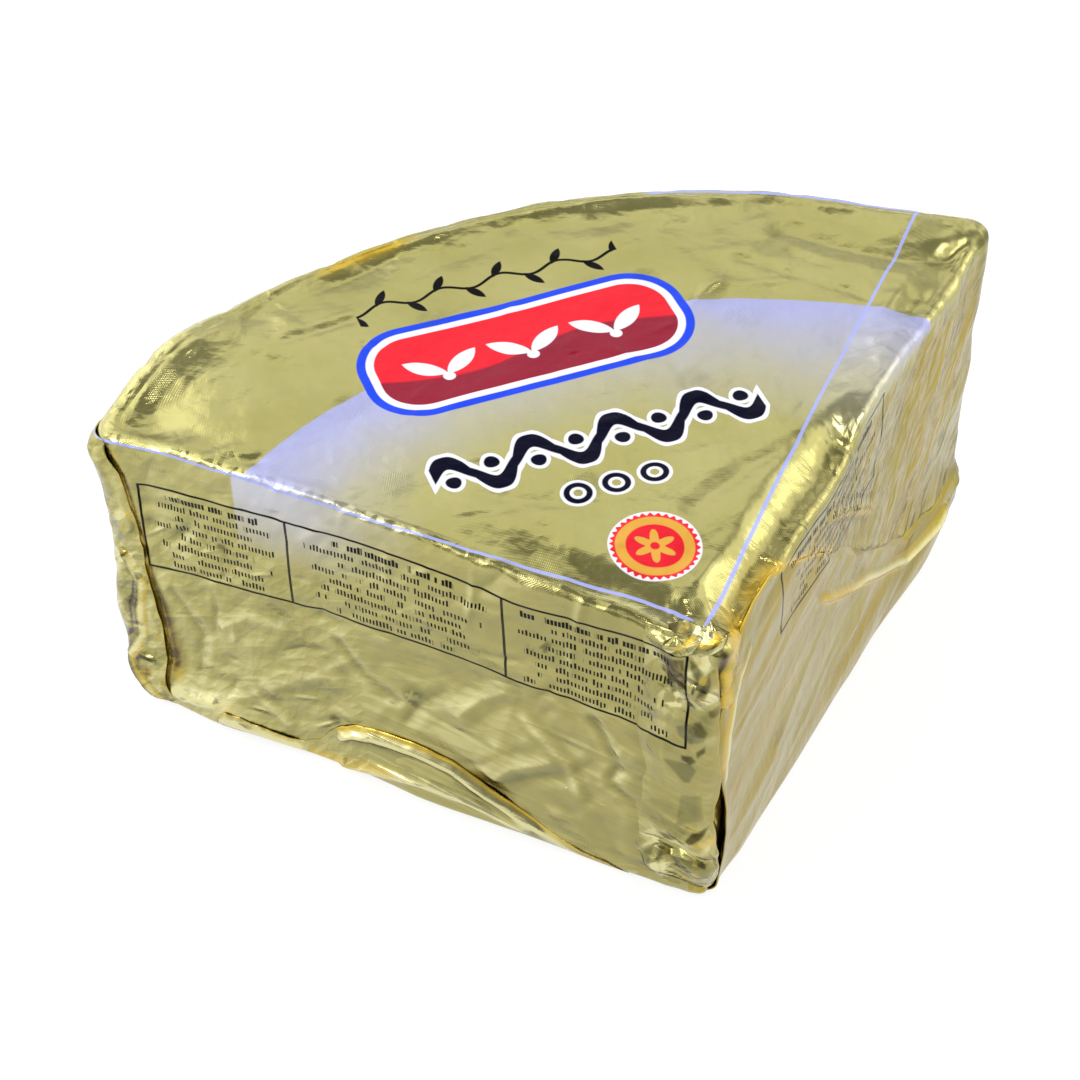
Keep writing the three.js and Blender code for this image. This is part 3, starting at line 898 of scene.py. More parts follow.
    def girth(self, middle, distance, z, height):
        """Places and outward normals round the pack: distance is measured anticlockwise from
        the middle column in rows, each at its height z, and height is that of the foot's
        round there."""
        inset = self.inset(z, self.foot_cut, height)
        plan = self.outline(inset, self.inset(z, self.foot_rind, self.foot_rind))
        count = plan[0].shape[1]
        plan = [np.roll(part, count // 2 - middle, axis=1) for part in plan]
        steps = np.hypot(np.diff(plan[0]), np.diff(plan[1]))
        rows = []
        for i, row in enumerate(distance):
            passed = np.concatenate([[0], np.cumsum(steps[i])])
            passed -= passed[count // 2]
            rows.append([np.interp(row, passed, part[i]) for part in plan])
        return np.moveaxis(np.array(rows), 1, 0)

    def corner_column(self, which):
        """The middle column of the right rind corner, the left rind corner or the point."""
        right, left = len(self.WALL[1]), len(self.WALL[-1])
        corner, rind, point = len(self.CORNER), len(self.RIND), len(self.POINT)
        starts = {
            "right": right + corner // 2,
            "left": right + corner + rind + corner // 2,
            "point": right + left + 2 * corner + rind + point // 2,
        }
        return starts[which]


# ---- Meshes ------------------------------------------------------------------------


def add_uv(mesh, name, places):
    """A UV map from one pair of numbers for each vertex, in metres."""
    corners = np.empty(len(mesh.loops), np.int32)
    mesh.loops.foreach_get("vertex_index", corners)
    layer = mesh.uv_layers.new(name=name)
    layer.data.foreach_set("uv", (places[corners] * MM).astype(np.float32).ravel())


def new_piece(name, vertices, faces, maps, values, material):
    """A smooth-shaded piece of the pack from millimetre places, with its UV maps and named
    values for each place, riding on the pack's body. deep is how strongly a place gets the
    painted gold reflection of a fold, and tone is its painted light and shade."""
    mesh = bpy.data.meshes.new(name)
    mesh.from_pydata((vertices * MM).tolist(), [], faces)
    for key, places in maps.items():
        add_uv(mesh, key, places)
    for key, numbers in values.items():
        layer = mesh.attributes.new(key, "FLOAT", "POINT")
        layer.data.foreach_set("value", np.ascontiguousarray(numbers, np.float32).ravel())
    mesh.polygons.foreach_set("use_smooth", np.ones(len(mesh.polygons), bool))
    mesh.materials.append(material)
    mesh.update()
    piece = bpy.data.objects.new(name, mesh)
    bpy.context.scene.collection.objects.link(piece)
    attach(piece, BODY)
    return piece


def ring_faces(rows, columns):
    """Quads of a grid whose last column joins the first, and the fans of its two poles."""
    c = np.arange(columns)
    n = (c + 1) % columns
    low = (np.arange(rows - 1) * columns)[:, None]
    quads = np.stack([low + c, low + n, low + columns + n, low + columns + c], axis=-1)
    last = (rows - 1) * columns
    base = np.stack([n, c, np.full(columns, rows * columns)], axis=-1)
    top = np.stack([last + c, last + n, np.full(columns, rows * columns + 1)], axis=-1)
    return quads.reshape(-1, 4).tolist() + base.tolist() + top.tolist()


def grid_faces(rows, columns):
    """Quads of an open grid of rows and columns."""
    low = (np.arange(rows - 1) * columns)[:, None]
    c = np.arange(columns - 1)
    quads = np.stack([low + c, low + c + 1, low + columns + c + 1, low + columns + c], axis=-1)
    return quads.reshape(-1, 4).tolist()


def coons(bottom, top, near, far, columns, rows):
    """A patch between four chains of places: the sum of the two ruled patches less the
    patch of the corners."""

    def spread(chain, count):
        chain = np.asarray(chain, float)
        passed = np.concatenate([[0], np.cumsum(np.hypot(*np.diff(chain, axis=0).T))])
        at = np.linspace(0, passed[-1], count)
        return np.stack([np.interp(at, passed, chain[:, i]) for i in (0, 1)], axis=-1)

    b, t = spread(bottom, columns)[None], spread(top, columns)[None]
    n, f = spread(near, rows)[:, None], spread(far, rows)[:, None]
    p = np.linspace(0, 1, columns)[None, :, None]
    q = np.linspace(0, 1, rows)[:, None, None]
    low = (1 - p) * b[:, :1] + p * b[:, -1:]
    high = (1 - p) * t[:, :1] + p * t[:, -1:]
    return (1 - q) * b + q * t + (1 - p) * n + p * f - (1 - q) * low - q * high


def foil_flap(context, name, places, values, left=None, right=None):
    """A flap: a grid of places, with its sheet coordinates beside the face whose print
    crosses it, given the foil's thickness inwards by Solidify, which also closes its rim."""
    rows, columns = places.shape[:2]
    blank = np.full((rows, columns, 2), UNPRINTED)
    sheets = {"left_sheet": left, "right_sheet": right}
    maps = {
        key: (blank if sheet is None else sheet).reshape(-1, 2) for key, sheet in sheets.items()
    }
    faces = grid_faces(rows, columns)
    piece = new_piece(name, places.reshape(-1, 3), faces, maps, values, foil(context))
    solid = piece.modifiers.new("foil", "SOLIDIFY")
    solid.thickness = context.scene.wedge_sizes.foil
    solid.offset = -1


# ---- Shader maths ------------------------------------------------------------------


class Field:
    """A socket of numbers over a surface, on which Python's operators add Math nodes."""

    def __init__(self, graph, socket):
        self.graph, self.socket = graph, socket

    def math(self, operation, *others, clamp=False):
        values = [self, *others]
        settings = {"operation": operation, "use_clamp": clamp}
        node = self.graph.node("ShaderNodeMath", settings, dict(enumerate(values)))
        return Field(self.graph, node.outputs[0])

    def __add__(self, other):
        return self.math("ADD", other)

    def __sub__(self, other):
        return self.math("SUBTRACT", other)

    def __rsub__(self, other):
        return (-self) + other

    def __mul__(self, other):
        return self.math("MULTIPLY", other)

    def __truediv__(self, other):
        return self.math("DIVIDE", other)

    def __neg__(self):
        return self.math("MULTIPLY", -1.0)

    def __abs__(self):
        return self.math("ABSOLUTE")

    __radd__, __rmul__ = __add__, __mul__

    def least(self, other):
        return self.math("MINIMUM", other)

    def most(self, other):
        return self.math("MAXIMUM", other)

    def sin(self):
        return self.math("SINE")

    def root(self):
        return self.math("SQRT")

    def floor(self):
        return self.math("FLOOR")

    def wrap(self, size):
        """The remainder after whole multiples of a size, centred on 0."""
        return self.math("WRAP", size / 2, -size / 2)

    def ramp(self, low, high):
        """0 at low, 1 at high, straight between them and level outside."""
        return ((self - low) * (1.0 / (high - low))).math("ADD", 0.0, clamp=True)

    def steps(self, *pieces):
        """Ramps added up, each given as (low, high, rise)."""
        first, *rest = [self.ramp(low, high) * rise for low, high, rise in pieces]
        return sum(rest, first)

    def inside(self, soft=0.12):
        """1 where a signed distance in millimetres is below zero."""
        return self.ramp(soft, -soft)


class Graph:
    """The node tree of a material or of the world."""

    def __init__(self, owner):
        owner.use_nodes = True
        self.tree = owner.node_tree
        self.tree.nodes.clear()

    def node(self, kind, settings=None, values=None):
        """Adds a node: its settings are set first, then its sockets are given a number, a
        colour, a Field or another socket."""
        node = self.tree.nodes.new(kind)
        for key, value in (settings or {}).items():
            setattr(node, key, value)
        for key, value in (values or {}).items():
            if isinstance(value, Field):
                value = value.socket
            if isinstance(value, bpy.types.NodeSocket):
                self.tree.links.new(value, node.inputs[key])
            else:
                node.inputs[key].default_value = value
        return node

    def split(self, socket, scale):
        """The parts of a vector as Fields, multiplied by a scale."""
        parts = self.node("ShaderNodeSeparateXYZ", None, {0: socket})
        return [Field(self, out) * scale for out in parts.outputs]

    def mix(self, factor, first, second):
        """A colour between two colours."""
        settings = {"data_type": "RGBA"}
        node = self.node("ShaderNodeMix", settings, {0: factor, 6: first, 7: second})
        return node.outputs[2]

    def value(self, name):
        """The number that the mesh holds under a name."""
        node = self.node("ShaderNodeAttribute", {"attribute_name": name})
        return Field(self, node.outputs["Fac"])

    def place(self, first, second):
        """A vector of two numbers or Fields."""
        return self.node("ShaderNodeCombineXYZ", None, {0: first, 1: second}).outputs[0]

    def vector(self, operation, first, second):
        """The outputs of a sum on two vectors."""
        values = {0: first, 1: second}
        return self.node("ShaderNodeVectorMath", {"operation": operation}, values).outputs

    def cells(self, place, distance="EUCLIDEAN"):
        """The outputs of random cells of size 1 over a plane."""
        settings = {"feature": "F1", "distance": distance, "voronoi_dimensions": "2D"}
        return self.node("ShaderNodeTexVoronoi", settings, {"Vector": place, "Scale": 1.0}).outputs

    def bump(self, height, **under):
        """The normal of a relief in millimetres, over another normal if one is given."""
        values = {"Strength": 1.0, "Distance": MM, "Height": height, **under}
        return self.node("ShaderNodeBump", None, values).outputs[0]

    def noise(self, vector, scale, detail=2.0, roughness=0.5):
        """Smooth random numbers about 0.5."""
        values = {"Vector": vector, "Scale": scale, "Detail": detail, "Roughness": roughness}
        return Field(self, self.node("ShaderNodeTexNoise", None, values).outputs[0])


def opaque(rgb):
    """A colour property as the four numbers that a socket takes."""
    return (*rgb, 1.0)


def box_distance(x, y, half_x, half_y, corner=0.0):
    """Signed distance from a rounded rectangle."""
    qx, qy = abs(x) - (half_x - corner), abs(y) - (half_y - corner)
    outer = (qx.most(0.0) * qx.most(0.0) + qy.most(0.0) * qy.most(0.0)).root()
    return outer + qx.most(qy).least(0.0) - corner


def circle_distance(x, y, radius):
    """Signed distance from a circle."""
    return (x * x + y * y).root() - radius


def turned(x, y, degrees):
    """Coordinates turned clockwise by an angle, so that what they draw turns anticlockwise."""
    c, s = math.cos(math.radians(degrees)), math.sin(math.radians(degrees))
    return x * c + y * s, y * c - x * s


def leaf_distance(x, y, half_length, half_width):
    """Signed distance from a pointed leaf along x: where two equal circles overlap."""
    radius = (half_length**2 + half_width**2) / (2 * half_width)
    offset = radius - half_width
    return circle_distance(x, abs(y) + offset, radius)


def wave_distance(x, y, length, height):
    """About the signed distance from a sine line: the upright distance made less where the
    line is steep."""
    phase = x * (2 * math.pi / length)
    slope = phase.math("COSINE") * (2 * math.pi * height / length)
    return abs(y - phase.sin() * height) / (slope * slope + 1.0).root()


def top_print(x, y, look):
    """The print on the top, as (mask, colour, metalness, roughness) from the bottom layer up.
    x and y are millimetres from the apex of the wedge."""
    r = (x * x + y * y).root()
    layers = []

    def ink(mask, rgb, metal=0.3, rough=0.34):
        layers.append((mask, opaque(rgb), metal, rough))

    # The outline: down the right of the top, and along the rind to the right corner.
    ex, ey = 92.1, 106.7
    size = math.hypot(ex, ey)
    across = ((x + 0.9) * (ey / size)) - ((y - 7.3) * (ex / size))
    along = ((x + 0.9) * (ex / size)) + ((y - 7.3) * (ey / size))
    ends = along.ramp(-1.0, 0.0) * (size + 0.5 - along).ramp(0.0, 0.6)
    ink((abs(across) - 0.38).inside() * ends, look.lilac)
    back = (abs(r - 146.0) - 0.5).inside() * x.ramp(33.0, 36.0) * (92.0 - x).ramp(0.0, 0.6)
    ink(back, look.lilac)

    # The plaque: a rounded plate, red in two tones, with a white and a blue border.
    px, py = turned(x + 8.5, y - 99.0, 2.7)
    plate = box_distance(px, py, 38.0, 15.5, 13.0)
    ink(plate.inside(), look.blue, 0.7)
    ink((plate + 2.0).inside(), look.white)
    ink((plate + 3.8).inside(), look.red, 0.6)
    shade = (py + 2.0 - wave_line(px, 60.0, 2.6)).inside(0.4)
    ink((plate + 3.8).inside() * shade, look.dark_red, 0.6)
    # Its motif: pairs of white leaves with a bead between them.
    cell = px.wrap(19.5)
    leaf_x, leaf_y = turned(abs(cell) - 4.2, py, 38.0)
    sprig = leaf_distance(leaf_x, leaf_y, 5.4, 2.0).least(circle_distance(cell, py + 4.2, 1.4))
    ink(sprig.inside() * (abs(px) - 29.0).inside(), look.white)

    # The scroll under it: a navy wave, broad and narrow by turns, with beads in its bends.
    qx, qy = turned(x + 3.5, y - 64.0, 3.0)
    turns = (qx * (2 * math.pi / 19.0)).sin()
    scroll = wave_distance(qx, qy, 19.0, 4.6) - 0.9 - abs(turns) * 1.1
    bead = circle_distance((qx - 4.75).wrap(9.5), qy + turns * 1.6, 1.7)
    scroll = scroll.most(abs(qx) - 37.0).least(bead.most(abs(qx) - 36.0))
    ink((scroll - 1.0).inside(), look.white, 0.1)
    ink(scroll.inside(), look.navy, 0.95)

    # Three small rings.
    sx, sy = turned(x + 4.5, y - 49.8, 3.0)
    ring = abs(circle_distance(sx.wrap(8.6), sy, 2.4)) - 0.65
    reach = (abs(sx) - 12.9).inside()
    ink((ring - 0.75).inside() * reach, look.white, 0.1)
    ink(ring.inside() * reach, look.navy, 0.95)

    # The round seal: a plain rosette.
    cx, cy = x + 3.0, y - 30.1
    d = (cx * cx + cy * cy).root()
    turn = cy.math("ARCTAN2", cx)
    ink((d - 9.7).inside(), look.white, 0.2)
    ink((d - 9.0 - (turn * 34.0).sin() * 0.35).inside(), look.red, 0.4)
    ink((d - 8.2).inside(), look.ochre, 0.4)
    ink((d - 6.0).inside(), look.red, 0.6)
    ink((d - 3.3 - (turn * 6.0).sin() * 1.3).inside(), look.ochre, 0.3)
    ink((d - 1.0).inside(), look.red, 0.6)

    # The sprig over the plaque: a thin stem with a leaf by turns on either side.
    tx, ty = turned(x + 10.5, y - 123.5, 2.0)
    ty = ty + tx * tx * 0.0016
    stem = wave_distance(tx, ty, 14.0, 1.3) - 0.4
    side = (tx * (2 * math.pi / 14.0)).sin().math("SIGN")
    leaf_x, leaf_y = turned((tx - 3.5).wrap(7.0), ty * side - 2.9, 55.0)
    vine = stem.least(leaf_distance(leaf_x, leaf_y, 3.0, 1.05)).most(abs(tx) - 31.5)
    ink(vine.inside(), look.ink, 0.95)
    return layers


def wave_line(x, length, height):
    """A sine line's height at x."""
    return (x * (2 * math.pi / length)).sin() * height


def panel_print(graph, along_l, over_l, along_r, over_r):
    """The framed panels of small print, as a mask: three on the left face and one on the
    right. Small print is rows of strokes with gaps, and no letters. u runs from the middle
    of a cell, v down from its upper line."""
    on_right = over_r.ramp(0.4, 0.6) * along_r.ramp(8.0, 8.1)
    second, third = along_l.ramp(48.49, 48.51), along_l.ramp(100.49, 100.51)
    centre = second * 47.0 + third * 44.6 + 27.5
    u = (1 - on_right) * (along_l - centre) + on_right * (along_r - 57.5)
    half = (1 - on_right) * (second * 5.0 - third * 7.4 + 21.0) + on_right * 26.5
    # The sheet was laid on askew and is drawn up towards the point.
    sag = along_l.steps((92, 138, 2.7), (98, 76, -1.8), (46, 15, -2.4), (17, 7, -3.4))
    v = (1 - on_right) * (over_l - 9.5 - sag) * (1 - along_l.ramp(22.0, 7.0) * 0.13)
    v = v + on_right * (over_r - 2.8)
    tall = 24.4
    border = (abs(u) - half).most(abs(v - tall / 2) - tall / 2)
    frame_line = (abs(border) - 0.30).inside(0.1)

    pitch = 2.85
    index = ((v - 1.2) / pitch).floor()
    row = v - 1.2 - (index + 0.5) * pitch
    bold = (0.5 - index).ramp(0.0, 0.2)
    words = graph.noise(graph.place(u * 0.42, index * 7.31 + centre), 1.0, 0.0).ramp(0.37, 0.40)
    # Each place for a short upright bar is 0.85 mm wide, and a draw says how far the bar
    # reaches up or down, or that there is none.
    step = 0.85
    slot = (u * (1 / step)).floor()
    seat = {"Vector": graph.place(slot, index * 3.7 + centre)}
    draw = graph.node("ShaderNodeTexWhiteNoise", {"noise_dimensions": "2D"}, seat)
    draw = Field(graph, draw.outputs[0])
    from_left = u - slot * step
    high = 0.64 + draw.ramp(0.78, 0.80) * 0.42 + bold * 0.12
    low = 0.64 + draw.ramp(0.22, 0.20) * 0.36 + bold * 0.12
    strokes = (abs(from_left - 0.42) - 0.19 - bold * 0.10 - draw * 0.06).inside(0.06) * (
        (row + high).ramp(-0.08, 0.08) * (low - row).ramp(-0.08, 0.08) * draw.ramp(0.06, 0.08)
    )
    width = (index * 2.7 + centre).sin() * 0.18 + 0.74
    inside_row = (abs(u) - width * (half - 1.5)).inside(0.1) * border.inside(0.1) * (
        (index + 0.5) * (7.5 - index)
    ).ramp(0.0, 0.1)
    return frame_line.most(strokes * words * inside_row)


def fine_facets(graph, x, y, z, wedge):
    """Flat facets of crushed foil, finer than the mesh. The places are spread on a sheet by a
    slanting projection that keeps its scale on the top and the walls. Gives how far the
    facets turn to the painted light, for painted light and shade, and their normal."""
    level = z - wedge.height
    across = (x * (1 / 60.0)).most(-1.0).least(1.0)
    u = x + level * (1.0 - abs(across) * 0.8)
    v = y - level * across
    crush = graph.value("crush")

    def pyramids(size, turn):
        """Four-sided pyramids of a size, turned by an angle."""
        c, s = math.cos(turn) / size, math.sin(turn) / size
        place = graph.place(u * c + v * s, v * c - u * s)
        return Field(graph, graph.cells(place, "MANHATTAN")["Distance"])

    def scratches(size, mean, tall):
        """Short straight creases, one in a cell: sharp at its line and 1 mm wide on each side."""
        place = graph.place(u * (1 / size), v * (1 / size))
        cell = graph.cells(place)
        px, py, _ = graph.split(graph.vector("SUBTRACT", place, cell["Position"])[0], size)
        one, two, three = graph.split(cell["Color"], 1.0)
        angle = (one - 0.5) * 2.2 + mean
        c, s = angle.math("COSINE"), angle.sin()
        across, along = abs(px * c + py * s), abs(py * c - px * s)
        window = (1.0 - along * (1 / (0.42 * size))).most(0.0)
        return (1.0 - across).most(0.0) * window * (two - 0.45).math("SIGN") * three * tall

    height = pyramids(9.0, 0.5) * (crush * 0.7 + 0.05) + pyramids(3.6, 1.1) * crush * 0.30
    height = height + scratches(10.0, 0.8, 0.75) * (crush - 0.2).most(0.02) * 1.2
    normal = graph.bump(height)
    plain = graph.node("ShaderNodeNewGeometry").outputs["Normal"]
    turn = graph.vector("SUBTRACT", normal, plain)[0]
    settings = {"vector_type": "VECTOR", "convert_from": "WORLD", "convert_to": "OBJECT"}
    turn = graph.node("ShaderNodeVectorTransform", settings, {0: turn}).outputs[0]
    lit = graph.vector("DOT_PRODUCT", turn, TO_LIGHT)["Value"]
    return Field(graph, lit) * 1.7, normal


# The foil's gold where the lacquer is thick or thin, its painted shade on facets that face
# away and its painted highlight on facets that face the light: the scale of its red, green
# and blue.
GOLD_SCALES = {
    "thick": (0.86, 0.86, 0.72), "thin": (1.12, 1.12, 1.20), "turned": (0.27, 0.28, 0.27),
    "bright": (1.58, 1.60, 2.2),
}


def foil_material(name, look, wedge):
    """Gold-lacquered foil with its print, finely embossed and creased, with painted light,
    shade and reflections in its colour.
    """
    material = bpy.data.materials.new(name)
    graph = Graph(material)
    coords = graph.node("ShaderNodeTexCoord").outputs["Object"]
    x, y, z = graph.split(coords, 1000.0)
    y = y - wedge.apex
    left = graph.node("ShaderNodeUVMap", {"uv_map": "left_sheet"}).outputs[0]
    right = graph.node("ShaderNodeUVMap", {"uv_map": "right_sheet"}).outputs[0]
    along_l, over_l, _ = graph.split(left, 1000.0)
    along_r, over_r, _ = graph.split(right, 1000.0)
    deep = graph.value("deep")
    on_top = z.ramp(60.0, 61.0)

    # The bare foil: streaks and clouds of a little more and a little less lacquer.
    clouds = graph.noise(coords, 38.0, 3.0)
    stretched = graph.node("ShaderNodeMapping", None, {
        0: coords, "Rotation": (0.5, 0.6, 0.9), "Scale": (60.0, 60.0, 480.0),
    }).outputs[0]
    streaks = graph.noise(stretched, 1.0, 2.0)
    on_right = over_r.ramp(3.0, 8.0)
    tint = (clouds - 0.5) * 1.5 + (streaks - 0.5) * 0.8 * (1.0 - on_right)
    tint = tint.math("ADD", 0.5, clamp=True)
    shades = {
        key: opaque([part * by for part, by in zip(look.gold, scale)])
        for key, scale in GOLD_SCALES.items()
    }
    bare = graph.mix(tint, shades["thick"], shades["thin"])
    # Painted shade: the walls below the top's edge are painted darker gold, most on the left face
    # towards the point, and on the right face.
    shade = (z.ramp(84.5, 79.0) * (along_l.ramp(150.0, 20.0) * 0.5 + 0.4)).most(on_right * 0.75)
    bare = graph.mix(shade, bare, opaque(look.shaded))
    # The right face has long slanting streaks, yellower and greyer by turns, painted
    # reflections on a gold that is painted darker as shade. Those of the flap lie flatter.
    heading = graph.value("lap") * math.radians(-38.0) + math.radians(52.0)
    steep, flat = heading.sin(), heading.math("COSINE")
    slant = graph.place(
        (along_r * flat - over_r * steep) * 0.013, (along_r * steep + over_r * flat) * 0.10
    )
    stripe = graph.noise(slant, 1.0, 0.4)
    # The slanting streaks are painted reflections, in colours darker than the gold as painted
    # shade.
    lacquer = graph.mix(stripe.ramp(0.38, 0.62), opaque(look.yellowed), opaque(look.greyed))
    bare = graph.mix(on_right * 0.9, bare, lacquer)
    # Painted reflection: deep gold where foil mirrors foil in a fold, and less metalness there.
    colour_ = graph.mix(deep * 0.95, bare, opaque(look.deep))
    # Painted light and shade: facets that face away are painted darker and greyer, those that
    # face the light are painted paler, and the crevices get a brown painted shade.
    fine, facet_normal = fine_facets(graph, x, y, z, wedge)
    facing = graph.value("painted_shading") + fine * (1.0 - on_top * 0.5) * (1.0 - on_right * 0.8)
    away = facing.ramp(0.08, -1.0) * 0.9 * (1.0 - deep * 0.8)
    colour_ = graph.mix(away, colour_, shades["turned"])
    colour_ = graph.mix(facing.ramp(0.08, 1.0) * 0.75, colour_, shades["bright"])
    colour_ = graph.mix(facing.ramp(-0.95, -1.75) * 0.92, colour_, opaque(look.crevice))
    metal = 1.0 - deep * 0.5
    rough = (clouds - 0.5) * 0.16 + (streaks - 0.5) * 0.12 + look.roughness

    # The pale band: sharp towards the rind, fading out towards the point.
    r = (x * x + y * y).root()
    reach = 104.5 - r + (x + 4.0) * (x + 4.0) * 0.0010
    ebb = (reach + (clouds - 0.5) * 30.0).ramp(38.0, 2.0)
    on_face = over_l.ramp(-0.2, 0.2)
    down = (over_l + (clouds - 0.5) * 16.0).ramp(24.0, 4.0)
    within = 113.0 - along_l
    on_left = within.ramp(0.0, 0.5) * down * (within + (clouds - 0.5) * 20.0).ramp(46.0, 6.0)
    crown = reach.ramp(0.0, 0.5) * ebb * on_top * (1 - on_face) * over_r.ramp(5.0, 1.0)
    band = (crown + on_left * on_face).math("MULTIPLY", 0.94, clamp=True)
    blue = (reach + (clouds - 0.5) * 10.0).ramp(22.0, 0.0)
    pale = graph.mix(blue * (1 - on_face), opaque(look.pale), opaque(look.band))

    layers = [(band, pale, 0.6, 0.42)]
    run = along_l.ramp(50.0, 96.0)
    line = over_l + 2.1 - run * 3.1 + along_l.ramp(56.0, 15.0) * 3.6
    ends = along_l.ramp(8.0, 9.0) * (148.0 - along_l).ramp(0.0, 1.0)
    on_edge = (abs(line) - 0.40).inside() * ends
    layers.append((on_edge, opaque(look.lilac), 0.15, 0.34))
    for mask, rgb, metalness, roughness in top_print(x, y, look):
        layers.append((mask * on_top, rgb, metalness, roughness))
    small_print = panel_print(graph, along_l, over_l, along_r, over_r)
    layers.append((small_print, opaque(look.ink), 0.95, 0.4))
    for mask, rgb, metalness, roughness in layers:
        colour_ = graph.mix(mask, colour_, rgb)
        metal = mask * (metalness - metal) + metal
        rough = mask * (roughness - rough) + rough

    # Relief too fine for the mesh, in millimetres: crinkles, and the linen rolled into the
    # foil, which is deeper in small patches.
    crinkle = graph.noise(coords, 190.0, 2.0, 0.62)
    spread = graph.place(x * 0.03 + z * 0.011, y * 0.03 - z * 0.027)
    patches = Field(graph, graph.cells(spread)["Distance"]).ramp(0.15, 0.09)
    linen = (x * 9.6 + y * 6.4 + z * 8.0).sin() * (x * 6.6 - y * 9.4 + z * 7.7).sin()
    height = crinkle * 0.20 + linen * (0.006 + patches * 0.02)
    normal = graph.bump(height, Normal=facet_normal)

    shader = graph.node("ShaderNodeBsdfPrincipled", None, {
        "Base Color": colour_, "Metallic": metal, "Roughness": rough, "Normal": normal,
    })
    graph.node("ShaderNodeOutputMaterial", None, {0: shader.outputs[0]})
    return material


def foil(context):
    """The foil's material, made once."""
    name = "gold_foil_print"
    made = bpy.data.materials.get(name)
    scene = context.scene
    return made or foil_material(name, scene.foil_look, Wedge(scene.wedge_sizes))


# ---- Operators ---------------------------------------------------------------------


class CHEESE_OT_wrap(bpy.types.Operator):
    """Wraps the wedge: one closed skin of foil with all its creases"""

    bl_idname = "cheese.wrap"
    bl_label = "Wrap"

    def execute(self, context):
        wedge = Wedge(context.scene.wedge_sizes)
        rows, left, right, values = wedge.wrap()
        count, columns = rows.shape[:2]
        head = float(wedge.top_height(np.array(0.0), np.array(wedge.middle)))
        poles = np.array([[0, wedge.middle, 0.3], [0, wedge.middle, head]])
        vertices = np.concatenate([rows.reshape(-1, 3), poles])
        blank = np.full((2, 2), UNPRINTED)
        maps = {
            "left_sheet": np.concatenate([left.reshape(-1, 2), blank]),
            "right_sheet": np.concatenate([right.reshape(-1, 2), blank]),
        }
        values = {key: np.append(numbers, [0.0, 0.0]) for key, numbers in values.items()}
        faces = ring_faces(count, columns)
        piece = new_piece("foil_wrap", vertices, faces, maps, values, foil(context))
        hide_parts(NODE)
        return {"FINISHED"}


class CHEESE_OT_face_flap(bpy.types.Operator):
    """Folds the three-cornered flap over the lower part of the right face"""

    bl_idname = "cheese.face_flap"
    bl_label = "Face flap"

    def execute(self, context):
        wedge = Wedge(context.scene.wedge_sizes)
        near, far = list(FLAP_NEAR), [(143, 0.6), FLAP_UPPER[-1]]
        patch = coons([near[0], far[0]], FLAP_UPPER, near, far, 280, 130)
        along, z = patch[..., 0], patch[..., 1]
        rng = wedge.draw("face_flap")
        top_edge, _ = chain_distance(along, z, FLAP_UPPER[3:11])
        near_edge, _ = chain_distance(along, z, (*near, *FLAP_UPPER[1:5]))
        ridge, _ = chain_distance(along, z, FLAP_RIDGE)
        under_ridge, _ = chain_distance(along, z + 1.7, FLAP_RIDGE)
        upper = follow(along, FLAP_UPPER)
        lift = 0.3 + 0.4 * bell(top_edge - 1.2, 2.0)
        lift += 0.5 * bell(near_edge, 2.0) * fade(z, 30, 44)
        folds = crumple(along, z, rng, ((14, 0.9), (7, 0.4)), 3.6, 18) * ease(along, 3, 14)
        folds += crumple(along, z, rng, ((5, 0.06), (3.2, 0.0)), 2.5, 18)
        folds += creases(along, z, rng, 20, FACE_BOX, (18, 60), (2.6, 6.0), (0.25, 0.7), (15, 10))
        folds *= 1 - 0.75 * bell(ridge, 5) * ease(along, 50, 58)
        head = spot(along - 5, z - 67, 5.5)
        folds += 0.4 * head * crumple(along, z, rng, ((4.5, 1.3), (2.6, 0.6)))
        shine, _ = chain_distance(along, z, FLAP_SHINE)
        golden, _ = chain_distance(along, z, FLAP_GOLDEN)
        folds += 0.7 * crest(shine, 2.2, 1.0)
        folds *= (1 - 0.6 * bell(top_edge, 3.5)) * (1 - 0.8 * bell(near_edge, 3.0))
        lift = np.maximum(lift + folds, 0.1) * ease(z, 0, 4) + 0.2
        lift *= 1 - 0.9 * ease(along, 130, 141)
        lift -= 1.4 * ease(z, 70, 79) * fade(along, 30, 42)
        lift -= 1.1 * fade(z, 0, 16) * fade(along, 6, 18)
        sunk = ease(along, 52, 60)
        lift -= sunk * (1.0 + lift) * fade(upper - z, 0.0, 3.0)
        lift += 1.5 * crest(ridge, 1.9, 1.1) * sunk * (1 - 0.7 * ease(along, 128, 140))
        places = wedge.skin(1, along, z, lift)
        heads = wedge.top_height(*wedge.on_face(1, along, 0.0))
        right = np.stack([along, heads - z + 6.0], axis=-1)
        # Painted gold reflections: along the top edge, under and on the ridge, in the crumpled head
        # and on the golden line.
        deep = strongest(
            0.9 * bell(top_edge, 0.5) * (1 - sunk),
            0.95 * bell(under_ridge, 0.8) * span(along, 52, 60, 98, 112),
            0.9 * bell(ridge, 0.9) * span(along, 52, 56, 72, 84),
            0.6 * head * ease(soft_noise(along, z, 2.2, rng), 0.2, 0.5),
            0.6 * bell(golden, 0.8),
        )
        # Painted light and shade: from the folds' slopes, highlights on the ridge and the shine
        # line, shade in the roller's dents and in patches near the rind corner's foot.
        facing = painted_shading(folds, along, z, 1.0) + 0.9 * bell(ridge - 0.2, 0.7) * ease(along, 66, 80)
        facing += 0.9 * bell(shine, 0.7) - 0.5 * painted_dent_shade(1, along, z, rng)
        clumps = ease(soft_noise(along, z, 4, rng), -0.4, 0.3)
        facing -= 1.3 * ease(along, 128, 140) * fade(z, 7, 12) * clumps
        crush = 0.05 + 0.6 * head
        values = {"deep": deep, "painted_shading": facing, "crush": crush, "lap": np.ones_like(deep)}
        foil_flap(context, "face_flap", places, values, right=right)
        return {"FINISHED"}


